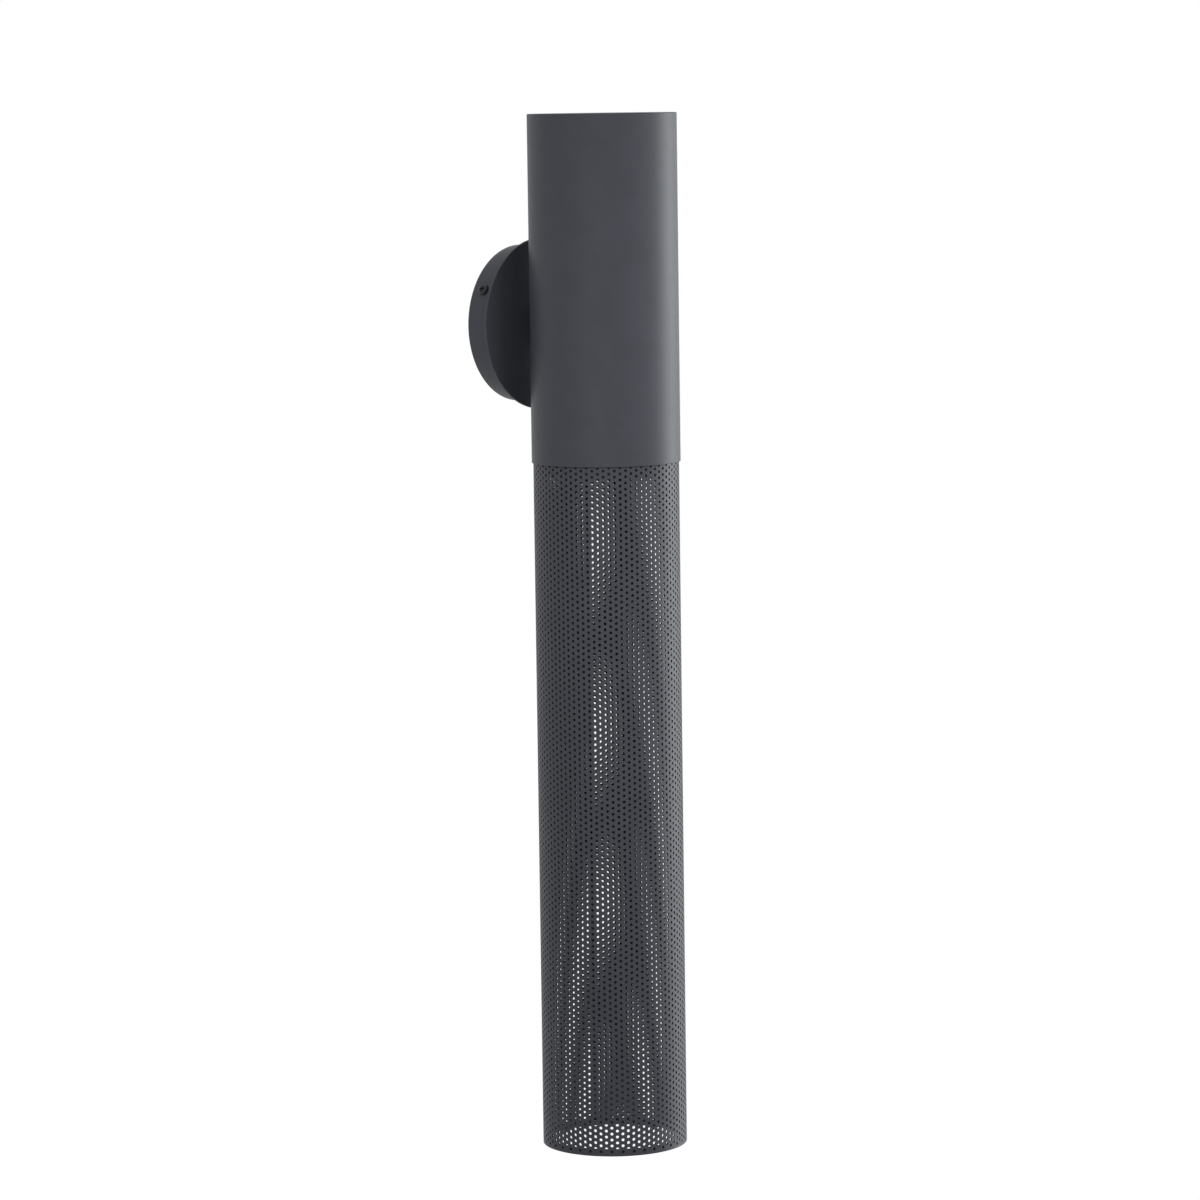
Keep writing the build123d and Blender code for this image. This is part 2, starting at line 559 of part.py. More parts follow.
# Terminal block in the canopy's lower half, its screws facing the wall
block_depth = DRUM_INSIDE - BLOCK_REAR
block_middle = -BLOCK_DROP - BLOCK_HEIGHT / 2
with BuildPart() as terminal_block:
    with BuildSketch(from_wall(BLOCK_REAR)):
        with Locations((0, block_middle)):
            Rectangle(BLOCK_WIDTH, BLOCK_HEIGHT)
            Circle(BLOCK_SCREW_D / 2 + HOLE_PLAY, mode=Mode.SUBTRACT)
    extrude(amount=block_depth)
    with BuildSketch(from_wall(BLOCK_REAR)):
        with Locations((0, block_middle)):
            Circle(BLOCK_SCREW_HEAD_D / 2 + HOLE_PLAY)
    extrude(amount=BLOCK_SCREW_HEAD_HEIGHT, mode=Mode.SUBTRACT)
    with BuildSketch(from_wall(BLOCK_REAR)):
        with Locations((0, block_middle)):
            with GridLocations(POLE_SPACING, POLE_ROW_SPACING, 2, 2):
                Circle(TERMINAL_SCREW_D / 2 + HOLE_PLAY)
    extrude(amount=TERMINAL_SCREW_SUNK + TERMINAL_SCREW_LENGTH, mode=Mode.SUBTRACT)

with BuildPart() as terminal_screws:
    with BuildSketch(from_wall(BLOCK_REAR + TERMINAL_SCREW_SUNK)):
        with Locations((0, block_middle)):
            with GridLocations(POLE_SPACING, POLE_ROW_SPACING, 2, 2):
                Circle(TERMINAL_SCREW_D / 2)
    extrude(amount=TERMINAL_SCREW_LENGTH)

with BuildPart() as block_screw:
    head_seat = BLOCK_REAR + BLOCK_SCREW_HEAD_HEIGHT
    shank = DRUM_DEPTH - head_seat
    seat_plane = to_wall(head_seat, z=block_middle)
    add(screw(seat_plane, BLOCK_SCREW_HEAD_D / 2, BLOCK_SCREW_HEAD_HEIGHT, BLOCK_SCREW_D / 2, shank))


def lead_route(side):
    """Corners of one lead's way from the lampholder through the nipple to the terminal block."""
    run = side * LEAD_SPREAD
    pole = side * POLE_SPACING / 2
    splay_end = LEAD_POLE_RUN - BLOCK_DROP
    return [
        (run, -LEAD_BOSS_BACK, LEAD_EXIT),
        (run, -LEAD_DROP, LEAD_EXIT),
        (run, -LEAD_DROP, 0),
        (run, -LEAD_REAR, 0),
        (run, -LEAD_REAR, splay_end + LEAD_SPLAY_RUN),
        (pole, -LEAD_REAR, splay_end),
        (pole, -LEAD_REAR, -BLOCK_DROP),
    ]


with BuildPart() as live_lead:
    with BuildLine() as live_path:
        FilletPolyline(*lead_route(-1), radius=LEAD_BEND)
    with BuildSketch(Plane(origin=live_path.line @ 0, z_dir=live_path.line % 0)):
        RegularPolygon(LEAD_D / 2, LEAD_SIDES)
    sweep()

with BuildPart() as neutral_lead:
    with BuildLine() as neutral_path:
        FilletPolyline(*lead_route(1), radius=LEAD_BEND)
    with BuildSketch(Plane(origin=neutral_path.line @ 0, z_dir=neutral_path.line % 0)):
        RegularPolygon(LEAD_D / 2, LEAD_SIDES)
    sweep()

pieces = {
    "wall_bracket": wall_bracket,
    "earth_screw": earth_screw,
    "canopy_drum": canopy_drum,
    "canopy_face": canopy_face,
    "canopy_screws": canopy_screws,
    "neck_seal": neck_seal,
    "neck_spacer": neck_spacer,
    "mounting_nipple": mounting_nipple,
    "nipple_washers": nipple_washers,
    "nipple_nuts": nipple_nuts,
    "lead_bushings": lead_bushings,
    "body_tube": body_tube,
    "top_cap": top_cap,
    "perforated_sleeve": perforated_sleeve,
    "sleeve_coupler": sleeve_coupler,
    "end_ring": end_ring,
    "sleeve_screws": sleeve_screws,
    "saddle_plate": saddle_plate,
    "angle_bracket": angle_bracket,
    "holder_nipple": holder_nipple,
    "holder_washer": holder_washer,
    "holder_nut": holder_nut,
    "lampholder": lampholder,
    "screw_shell": screw_shell,
    "centre_contact": centre_contact,
    "lamp_tip": lamp_tip,
    "lamp_insulator": lamp_insulator,
    "lamp_cap": lamp_cap,
    "lamp_housing": lamp_housing,
    "lamp_lens": lamp_lens,
    "terminal_block": terminal_block,
    "terminal_screws": terminal_screws,
    "block_screw": block_screw,
    "live_lead": live_lead,
    "neutral_lead": neutral_lead,
}
os.makedirs("parts", exist_ok=True)
for name, piece in pieces.items():
    piece.part.label = name
    export_step(piece.part, f"parts/{name}.step")
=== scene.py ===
import math

import bmesh
import bpy
import numpy as np
from mathutils import Matrix, Vector
from numpy.polynomial.polynomial import polyval


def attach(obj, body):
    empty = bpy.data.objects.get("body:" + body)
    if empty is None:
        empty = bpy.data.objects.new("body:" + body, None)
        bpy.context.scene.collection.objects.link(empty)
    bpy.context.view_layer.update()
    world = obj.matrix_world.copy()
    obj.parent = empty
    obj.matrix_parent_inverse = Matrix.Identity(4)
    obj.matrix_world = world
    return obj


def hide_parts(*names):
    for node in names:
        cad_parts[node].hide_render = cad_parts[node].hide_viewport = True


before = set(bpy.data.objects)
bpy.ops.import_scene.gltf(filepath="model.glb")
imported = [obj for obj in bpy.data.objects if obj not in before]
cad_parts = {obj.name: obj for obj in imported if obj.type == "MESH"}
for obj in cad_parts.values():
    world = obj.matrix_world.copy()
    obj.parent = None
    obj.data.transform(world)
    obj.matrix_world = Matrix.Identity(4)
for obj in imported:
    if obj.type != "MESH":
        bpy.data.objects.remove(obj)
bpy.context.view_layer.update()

MM = 0.001
SMOOTH_ANGLE = math.radians(35)
SAME_PLACE = 1e-7  # points of a mesh that are nearer than this, in metres, become one
SLIP_FIT = 0.05  # play between walls that slide into one another
HOLE_PLAY = 0.2  # play round a nipple in a plain hole

# Canopy, in millimetres from the wall
DRUM_R = 54.0
DRUM_WALL = 1.2
DRUM_IR = DRUM_R - DRUM_WALL
DRUM_DEPTH = 18.7
PLATE_R = 59.0
PLATE_THICKNESS = 2.0
PLATE_FRONT = DRUM_DEPTH + PLATE_THICKNESS
NIPPLE_R = 5.0
NIPPLE_BORE_R = 3.5
NIPPLE_HOLE_R = NIPPLE_R + HOLE_PLAY

# Body, cap and sleeve, with heights from the canopy's centre
BODY_R = 51.0
BODY_WALL = 1.0
BODY_IR = BODY_R - BODY_WALL
NECK_LENGTH = 4.8
BODY_AXIS = PLATE_FRONT + NECK_LENGTH + BODY_R
BODY_TOP = 144.0
BODY_LENGTH = 237.4
BODY_BOTTOM = BODY_TOP - BODY_LENGTH
CAP_R = BODY_IR - SLIP_FIT
CAP_THICKNESS = 1.2
CAP_RIM = 8.0
SLEEVE_WALL = 1.0
SLEEVE_R = BODY_IR - SLIP_FIT
SLEEVE_IR = SLEEVE_R - SLEEVE_WALL
SLEEVE_INSERT = 14.0  # length inside the body
SLEEVE_SHOWN = 474.0  # length below the body
SLEEVE_TOP = BODY_BOTTOM + SLEEVE_INSERT
SLEEVE_BOTTOM = BODY_BOTTOM - SLEEVE_SHOWN
RING_WALL = 1.5
RING_R = SLEEVE_IR - SLIP_FIT
RING_IR = RING_R - RING_WALL
COUPLER_DROP = 8.5  # how far the coupler reaches below the body
COUPLER_BOTTOM = BODY_BOTTOM - COUPLER_DROP
END_RING_HEIGHT = 4.7

# Holes of the perforated sheet. Angles are in degrees round the tube, from the side that faces the camera.
CAMERA_SIDE = -139.89
HOLE_R = 1.05
HOLE_SIDES = 12  # the faces round a hole are laid out for this many
ROW_STEP = 2.072  # half of the distance between two holes of a column
ROW_START = 1.409  # height of row 0
COLUMN_COUNT = 82
COLUMN_STEP = 360 / COLUMN_COUNT
FIRST_COLUMN = -37
COLUMN_START = 1.815  # angle of column 0
HOLES_TOP = BODY_BOTTOM + 5.0  # the rows lie between these heights
HOLES_BOTTOM = SLEEVE_BOTTOM + 0.8

# The rolled sheet bends a little on its way to the seam, between these angles. Turn in degrees and rise in
# millimetres are sums over the powers of the height above the middle, in units of 100 mm.
SEAM_FROM = 75.0
SEAM_TO = 125.0
BEND_MIDDLE = -330.0
BEND_UNIT = 100.0
RIGHT_TURN = (0.0, 0.205, 0.143, -0.1125)
LEFT_TURN = (0.853, -1.0125, 0.258, 0.174)
RIGHT_RISE = (0.844, -0.104, 0.027)
LEFT_RISE = (-0.767, -0.378, 0.104)
CLOSING_FROM = 118.8  # behind this angle the step between columns changes by the next two shares
RIGHT_CLOSING = -0.0381
LEFT_CLOSING = 0.0227

# The sleeve is made in lengths, so that none has too many faces. Each has a flat chart for its paint.
SLEEVE_LENGTHS = 4
CUT_SPARE = 1.0  # the outer cuts lie this far outside the sleeve
CHART_EDGE = 0.8  # height of the sheet's edges on the chart
CHART_MARGIN = 3.5  # height left free at the chart's lower and upper end
CHART_SPARE = 2  # columns left free at both sides of the chart

# Roundings of the edges
FINE_EDGE = 0.2
SOFT_EDGE = 0.3
BODY_TOP_EDGE = 0.8
BODY_TOP_INNER_EDGE = 0.1
CAP_EDGE = 0.6
FOOT_RING_EDGE = 0.4
DRUM_EDGE = 0.8
DRUM_INNER_EDGE = 0.5
PLATE_EDGE = 0.5
ARC_STEPS = 6

# Sides of turned pieces
ROUND_SIDES = 240
SCREW_SIDES = 64
NIPPLE_SIDES = 48
LAMP_CAP_SIDES = 96
LAMP_SIDES = 384

# Screws: angles in degrees, and radius and height of the head, radius and length of the shank
CANOPY_SCREW_ANGLES = (153.0, 333.0)
CANOPY_SCREW_FROM_WALL = 10.0
CANOPY_SCREW = (3.8, 2.6, 2.0, 6.5)
SLEEVE_SCREW_ANGLES = (75.0, 105.0)
SLEEVE_SCREW_HEIGHT = (BODY_BOTTOM + SLEEVE_TOP) / 2
SLEEVE_SCREW = (2.8, 1.8, 1.5, 5.1)
EARTH_SCREW_ANGLE = -48.0
EARTH_SCREW_REACH = 36.0
EARTH_SCREW_FROM_WALL = 2.0
EARTH_SCREW = (4.0, 3.0, 2.0, 2.0)
BLOCK_SCREW_PLACE = (0.0, -6.0, -32.0)
BLOCK_SCREW = (2.8, 2.0, 1.5, 12.7)
POLE_REACH = 8.0  # from the middle to each pole of the terminal block
TERMINAL_SCREW_PLACES = [(x, -4.9, z) for x in (-POLE_REACH, POLE_REACH) for z in (-36.0, -28.0)]
TERMINAL_SCREW = (2.0, 0.3, 1.9, 2.7)

# Heads of the screws: depths and rounding as shares of the head's height, reaches as shares of its radius
HEAD_ROUNDING = 0.65
CROSS_REACH = 0.58
CROSS_DEPTH = 0.55
CROSS_FOOT = 0.8  # the cross's size at its foot, as a share of its size at the top
SLOT_REACH = 2.0
SLOT_DEPTH = 3.0
RECESS_HALF_WIDTH = 0.15
RECESS_SPARE = 1.0  # the cutter stands this far above the head

# Threads, and the lowest and highest point of the two nipples along their axis
THREAD_PITCH = 1.0
THREAD_DEPTH = 0.45
THREAD_STEPS = 6
MOUNTING_NIPPLE = (10.7, 38.3)
HOLDER_NIPPLE = (37.0, 54.8)
FLANK = 0.01  # points this near to the outer radius lie on the flank that takes the thread

# Lamp
LAMP_CAP_R = 13.0
LAMP_CAP_TOP = 21.5
LAMP_CAP_TAPER = 2.0
LAMP_CAP_BOTTOM = -2.5
LAMP_THREAD_PITCH = 3.6
LAMP_THREAD_DEPTH = 0.9
LAMP_THREAD_STEPS = 8
LAMP_THREAD_START = 2.0  # above the cap's lower end
LAMP_THREAD_FADE = 2.0
LAMP_NECK_R = 12.5
LAMP_NECK_BOTTOM = -6.5
LAMP_NECK_EDGE = 1.5
LAMP_R = 32.0
LAMP_FLARE_BOTTOM = -46.5
LAMP_FLARE_EDGE = 3.0
LAMP_BOTTOM = -55.5
LAMP_RIM_EDGE = 1.2
LAMP_SEAT_EDGE = 0.4
LAMP_STEP = 2.0  # largest distance between points along the cone
GROOVES = 24
GROOVE_DEPTH = 1.3
GROOVE_FADE = 3.0
GROOVE_STEEPNESS = 2.0
GROOVE_NARROWING = 0.4
LENS_R = 28.5
LENS_TOP = -52.2
LENS_EDGE = -54.0
LENS_MIDDLE = -55.0
LENS_RINGS = 14
LENS_RING_DEPTH = 0.12
LENS_RING_STEPS = 8

# Leads from the lampholder through the nipple to the terminal block. The corners of their ways are given as
# distance from the wall and height, first where they run side by side and then at their poles.
LEAD_R = 1.1
LEAD_SPREAD = 1.5
LEAD_RUN = ((54.5, 28), (49, 28), (47, 26), (47, 4), (44, 0), (9.5, 0), (6.1, -3.5), (6.1, -9.6))
LEAD_POLE_RUN = ((6.1, -18), (6.1, -24))
LEAD_ROUNDNESS = 6

# Paint
GRAPHITE = (0.0495, 0.051, 0.063)
JOINT_SHADOW_REACH = 0.9  # how far the painted shadow under the body's edge reaches below the body
JOINT_SHADOW_SHARE = 0.05  # share of the paint's colour that is left at the joint, where the painted shadow is darkest
NOISE_LOW = 0.3  # most of a noise lies between these values
NOISE_HIGH = 0.7

# Stage, with lengths in metres
WORLD_LIGHT = 0.31
WORLD_TINT = (0.93, 0.97, 1.0)
FLOOR_HEIGHT = -1.6
FLOOR_HALF_WIDTH = 20.0
FLOOR_PAINT = (0.85, 0.85, 0.85)
FLOOR_WHITE = 1.085  # strength of the white that the camera sees
FLOOR_WHITE_SHARE = 0.9

# Camera, fitted to the photograph
CAMERA_PLACE = Vector((-2.3636, -2.0677, 0.15555))
CAMERA_HEADING = math.radians(-49.785)
CAMERA_PITCH = math.radians(6.359)
CAMERA_ROLL = math.radians(-0.773)
CAMERA_LENS = 135.714
SENSOR = 36.0

# Places of the turned pieces, from millimetres along their own axis
TUBE = Matrix.Translation(Vector((0, -BODY_AXIS, 0)) * MM) @ Matrix.Scale(MM, 4)
CANOPY = Matrix.Rotation(math.pi / 2, 4, "X") @ Matrix.Scale(MM, 4)


# Shapes

def new_piece(name, points, faces, place):
    """A mesh object at a place, smooth apart from its sharp edges."""
    mesh = bpy.data.meshes.new(name)
    mesh.from_pydata(points, [], faces)
    mesh.transform(place)
    mesh.validate()
    mesh.shade_smooth()
    mesh.set_sharp_from_angle(angle=SMOOTH_ANGLE)
    piece = bpy.data.objects.new(name, mesh)
    bpy.context.scene.collection.objects.link(piece)
    return piece


def unit(vector):
    return vector / np.linalg.norm(vector)


def rounded(corners):
    """A closed outline whose corners (radius, height, rounding) are drawn as arcs."""
    outline = []
    for number, (radius, height, rounding) in enumerate(corners):
        corner = np.array((radius, height))
        if rounding == 0:
            outline.append(corner)
            continue
        back = unit(np.array(corners[number - 1][:2]) - corner)
        ahead = unit(np.array(corners[(number + 1) % len(corners)][:2]) - corner)
        half = math.acos(np.dot(back, ahead)) / 2
        centre = corner + unit(back + ahead) * rounding / math.sin(half)
        start = corner + back * rounding / math.tan(half) - centre
        end = corner + ahead * rounding / math.tan(half) - centre
        first = math.atan2(start[1], start[0])
        sweep = (math.atan2(end[1], end[0]) - first + math.pi) % (2 * math.pi) - math.pi
        for angle in np.linspace(first, first + sweep, ARC_STEPS + 1):
            outline.append(centre + rounding * np.array((math.cos(angle), math.sin(angle))))
    return np.array(outline)


def divided(outline, step):
    """The outline with more points on its long runs, for a relief to move."""
    points = []
    for start, end in zip(outline, np.roll(outline, -1, 0)):
        parts = max(1, math.ceil(np.linalg.norm(end - start) / step))
        points += [start + (end - start) * part / parts for part in range(parts)]
    return np.array(points)


def lathe(name, outline, place, segments=ROUND_SIDES, relief=None):
    """A closed outline of (radius, height), drawn counterclockwise and turned about its axis.
    A relief gives how far each point moves in, from its turn, radius and height."""
    count = len(outline)
    turn = np.repeat(np.arange(segments) * 2 * math.pi / segments, count)
    radius, height = np.tile(outline, (segments, 1)).T
    if relief:
        radius = radius - relief(turn, radius, height)
    points = np.stack([radius * np.cos(turn), radius * np.sin(turn), height], -1)
    step, corner = np.meshgrid(np.arange(segments), np.arange(count), indexing="ij")
    here, there = step * count, (step + 1) % segments * count
    after = (corner + 1) % count
    faces = np.stack([here + corner, there + corner, there + after, here + after], -1).reshape(-1, 4)
    piece = new_piece(name, points, faces.tolist(), place)
    join_points(piece)
    return piece


def join_points(piece):
    """Joins the points that lie on one another, as on a lathe's axis."""
    work = bmesh.new()
    work.from_mesh(piece.data)
    bmesh.ops.remove_doubles(work, verts=work.verts, dist=SAME_PLACE)
    work.to_mesh(piece.data)
    work.free()
    piece.data.set_sharp_from_angle(angle=SMOOTH_ANGLE)


def wear(piece, material, replaces, body="fixture"):
    """Gives a piece its finish and its body, and hides the nodes that it stands for."""
    piece.data.materials.append(material)
    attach(piece, body)
    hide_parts(*replaces)


def cut(piece, cutter):
    """Takes the cutter's shape out of a piece and deletes the cutter."""
    modifier = piece.modifiers.new("cut", "BOOLEAN")
    modifier.operation = "DIFFERENCE"
    modifier.solver = "EXACT"
    modifier.object = cutter
    bpy.context.view_layer.update()
    shape = bpy.data.meshes.new_from_object(piece.evaluated_get(bpy.context.evaluated_depsgraph_get()))
    piece.modifiers.remove(modifier)
    whole, piece.data = piece.data, shape
    piece.data.set_sharp_from_angle(angle=SMOOTH_ANGLE)
    bpy.data.meshes.remove(whole)
    bpy.data.objects.remove(cutter)


def prism(name, outline, low, high, foot, place):
    """An outline of (x, y) drawn up from low to high. The foot is its share of size at the low end."""
    points = [(x * foot, y * foot, low) for x, y in outline] + [(x, y, high) for x, y in outline]
    count = len(outline)
    ring = list(range(count))
    faces = [(here, there, there + count, here + count) for here, there in zip(ring, ring[1:] + ring[:1])]
    faces += [ring[::-1], [corner + count for corner in ring]]
    return new_piece(name, points, faces, place)


def facing(origin, ahead):
    """A place in millimetres whose height runs along a direction."""
    turn = Vector(ahead).to_track_quat("Z", "Y").to_matrix().to_4x4()
    return Matrix.Translation(Vector(origin) * MM) @ turn @ Matrix.Scale(MM, 4)


def along_wall(angle):
    """A direction in the wall's plane, from degrees above +X."""
    return Vector((math.cos(math.radians(angle)), 0, math.sin(math.radians(angle))))


# Perforated sleeve

def sleeve_columns():
    """Number, angle and share of the bend of each column of holes, from the seam round to it."""
    number = np.arange(FIRST_COLUMN, FIRST_COLUMN + COLUMN_COUNT)
    angle = COLUMN_START + number * COLUMN_STEP
    share = np.clip((np.abs(angle) - SEAM_FROM) / (SEAM_TO - SEAM_FROM), 0, 1)
    share = share**2 * (3 - 2 * share)  # so that the bend starts and ends gently
    right = np.clip(angle - CLOSING_FROM, 0, None) * RIGHT_CLOSING
    left = np.clip(-angle - CLOSING_FROM, 0, None) * LEFT_CLOSING
    return number, angle + right - left, share


def bent(angle, share, height):
    """Angle and height of places on the sheet after its bend towards the seam."""
    up = (height - BEND_MIDDLE) / BEND_UNIT
    turn = np.where(angle > 0, polyval(up, RIGHT_TURN), polyval(up, LEFT_TURN))
    rise = np.where(angle > 0, polyval(up, RIGHT_RISE), polyval(up, LEFT_RISE))
    return angle + share * turn, height + share * rise


def between(values, step):
    """The middles between neighbours, with half a step more at both ends."""
    middles = (values[1:] + values[:-1]) / 2
    return np.concatenate([[values[0] - step / 2], middles, [values[-1] + step / 2]])


def sleeve_layout():
    """Angle and height of the grid's nodes, and column, row, angle and height of every hole."""
    number, angle, share = sleeve_columns()
    low = math.ceil((HOLES_BOTTOM - ROW_START) / ROW_STEP)
    high = math.floor((HOLES_TOP - ROW_START) / ROW_STEP)
    rows = np.arange(low, high + 1)
    height = ROW_START + rows * ROW_STEP
    levels = np.concatenate([[SLEEVE_BOTTOM], height, [SLEEVE_TOP]])
    line = between(angle, COLUMN_STEP)[:, None] + 0 * levels
    node_angle, node_height = bent(line, between(share, 0)[:, None], levels)
    node_height[:, 0], node_height[:, -1] = SLEEVE_BOTTOM, SLEEVE_TOP
    column, row = np.meshgrid(np.arange(COLUMN_COUNT), np.arange(1, len(rows) - 1), indexing="ij")
    is_hole = (rows[row] + number[column]) % 2 == 0
    column, row = column[is_hole], row[is_hole]
    hole_angle, hole_height = bent(angle[column], share[column], height[row])
    return node_angle, node_height, column, row + 1, hole_angle, hole_height


def on_tube(angle, height, radius):
    """Points on a tube about the sleeve's axis, from angles in degrees."""
    turn = np.radians(angle + CAMERA_SIDE)
    return np.stack([radius * np.cos(turn), radius * np.sin(turn), height], -1)


def stacked(faces):
    """One array of faces from lists of corners."""
    return np.concatenate([np.stack(corners, -1) for corners in faces])


class Sheet:
    """The perforated sheet: a grid of nodes and a ring of points round each hole.
    The points of the outer side come first, then those of the inner side in the same order."""

    def __init__(self):
        node_angle, node_height, self.column, self.row, hole_angle, hole_height = sleeve_layout()
        self.lines, self.rows = node_height.shape
        way = np.arange(HOLE_SIDES) * 2 * math.pi / HOLE_SIDES
        reach = np.degrees(HOLE_R / SLEEVE_R)
        rim_angle = hole_angle[:, None] + reach * np.cos(way)
        rim_height = hole_height[:, None] + HOLE_R * np.sin(way)
        self.angle = np.concatenate([node_angle.ravel(), rim_angle.ravel()])
        self.level = np.concatenate([node_height.ravel(), rim_height.ravel()])
        self.centres = np.repeat(np.stack([hole_angle, hole_height], -1), HOLE_SIDES, 0)
        self.count = len(self.angle)
        self.rim = np.arange(node_angle.size, self.count).reshape(-1, HOLE_SIDES)

    def points(self):
        return np.vstack([on_tube(self.angle, self.level, radius) for radius in (SLEEVE_R, SLEEVE_IR)])

    def node(self, line, row):
        return line * self.rows + row

    def round_holes(self):
        """Faces of four and of three corners, between each hole and the nodes round it."""
        rim = self.rim.T
        low_left, left, high_left = (self.node(self.column, self.row + step) for step in (-1, 0, 1))
        low_right, right, high_right = (self.node(self.column + 1, self.row + step) for step in (-1, 0, 1))
        quads = [
            (right, high_right, rim[1], rim[0]),
            (high_left, left, rim[6], rim[5]),
            (left, low_left, rim[7], rim[6]),
            (low_right, right, rim[0], rim[11]),
        ]
        tris = [
            (high_right, rim[2], rim[1]),
            (high_right, rim[3], rim[2]),
            (high_right, high_left, rim[3]),
            (high_left, rim[4], rim[3]),
            (high_left, rim[5], rim[4]),
            (low_left, rim[8], rim[7]),
            (low_left, rim[9], rim[8]),
            (low_left, low_right, rim[9]),
            (low_right, rim[10], rim[9]),
            (low_right, rim[11], rim[10]),
        ]
        return stacked(quads), stacked(tris)

    def cells(self, line, beside, row):
        """Faces of the grid between two lines, from a row to the next."""
        low = self.node(line, row), self.node(beside, row)
        high = self.node(beside, row + 1), self.node(line, row + 1)
        return np.stack([*low, *high], -1)

    def plain_cells(self):
        """Faces of the grid that no hole takes, and of the strip that closes the seam."""
        plain = np.ones((self.lines - 1, self.rows - 1), bool)
        plain[self.column, self.row - 1] = False
        plain[self.column, self.row] = False
        line, row = np.nonzero(plain)
        seam = self.cells(self.lines - 1, 0, np.arange(self.rows - 1))
        return np.concatenate([self.cells(line, line + 1, row), seam])

    def through(self, start, end):
        """Faces from the outer to the inner side, along edges given by their two ends."""
        return np.stack([start, end, end + self.count, start + self.count], -1).reshape(-1, 4)

    def groups(self):
        """Each group of faces, its points' places on a flat chart, and whether it is on the inner side.
        On the chart a hole's wall lies inside its rim, and an edge lies just outside the sheet."""
        quads, tris = self.round_holes()
        quads = np.concatenate([quads, self.plain_cells()])
        line = np.arange(self.lines)
        beside = (line + 1) % self.lines
        top = self.rows - 1
        walls = self.through(self.rim, np.roll(self.rim, -1, 1))
        foot = self.through(self.node(beside, 0), self.node(line, 0))
        head = self.through(self.node(line, top), self.node(beside, top))
        flat = np.stack([self.angle, self.level], -1)
        inward = flat.copy()
        inward[self.lines * self.rows:] = self.centres
        edge = np.array((0, CHART_EDGE))
        plain = np.vstack([flat, flat])
        return [
            (quads, plain, False),
            (quads[:, ::-1] + self.count, plain, True),
            (walls, np.vstack([flat, (flat + inward) / 2]), False),
            (foot, np.vstack([flat, flat - edge]), False),
            (head, np.vstack([flat, flat + edge]), False),
            (tris, plain, False),
            (tris[:, ::-1] + self.count, plain, True),
        ]


def on_chart(spots, low, high, inside):
    """Map coordinates of faces on the flat chart: the outside in its lower half, the inside in its upper."""
    angle, level = spots[..., 0], spots[..., 1]
    across_seam = angle < angle.max(1, keepdims=True) - 180
    angle = angle + 360 * across_seam
    start = COLUMN_START + (FIRST_COLUMN - CHART_SPARE) * COLUMN_STEP
    across = (angle - start) / (360 + 2 * CHART_SPARE * COLUMN_STEP)
    along = (level - low + CHART_MARGIN) / (high - low + 2 * CHART_MARGIN)
    return np.stack([across, along / 2 + (0.5 if inside else 0)], -1)


def sleeve_piece(name, points, level, groups, low, high):
    """The faces of the sheet whose middles lie between two heights, as one piece with a map for its paint."""
    kept, spots = [], []
    for faces, chart, inside in groups:
        middle = level[faces].mean(1)
        faces = faces[(middle >= low) & (middle < high)]
        if len(faces):
            kept += faces.tolist()
            spots.append(on_chart(chart[faces], low, high, inside).ravel())
    used = np.unique(np.concatenate(kept))
    place = np.full(len(points), -1)
    place[used] = np.arange(len(used))
    piece = new_piece(name, points[used], [place[face].tolist() for face in kept], TUBE)
    layer = piece.data.uv_layers.new(name="OFBake")
    layer.data.foreach_set("uv", np.concatenate(spots).astype(np.float32))
    return piece


def make_sleeve(finish):
    """The perforated lower tube, one piece for each length."""
    sheet = Sheet()
    points, level, groups = sheet.points(), np.tile(sheet.level, 2), sheet.groups()
    cuts = np.linspace(SLEEVE_BOTTOM - CUT_SPARE, SLEEVE_TOP + CUT_SPARE, SLEEVE_LENGTHS + 1)
    for number, (low, high) in enumerate(zip(cuts, cuts[1:]), 1):
        piece = sleeve_piece(f"sleeve_length_{number}", points, level, groups, low, high)
        wear(piece, finish, replaces=["perforated_sleeve"])


# Turned shells

def make_body(finish):
    """The plain upper tube and the lid inside its upper end."""
    outline = rounded([
        (BODY_IR, BODY_BOTTOM, FINE_EDGE),
        (BODY_R, BODY_BOTTOM, FINE_EDGE),
        (BODY_R, BODY_TOP, BODY_TOP_EDGE),
        (BODY_IR, BODY_TOP, BODY_TOP_INNER_EDGE),
    ])
    wear(lathe("body_shell", outline, TUBE), finish, replaces=["body_tube"])
    outline = rounded([
        (0, BODY_TOP - CAP_THICKNESS, 0),
        (CAP_R - CAP_THICKNESS, BODY_TOP - CAP_THICKNESS, SOFT_EDGE),
        (CAP_R - CAP_THICKNESS, BODY_TOP - CAP_RIM, FINE_EDGE),
        (CAP_R, BODY_TOP - CAP_RIM, FINE_EDGE),
        (CAP_R, BODY_TOP, CAP_EDGE),
        (0, BODY_TOP, 0),
    ])
    wear(lathe("cap_lid", outline, TUBE), finish, replaces=["top_cap"])


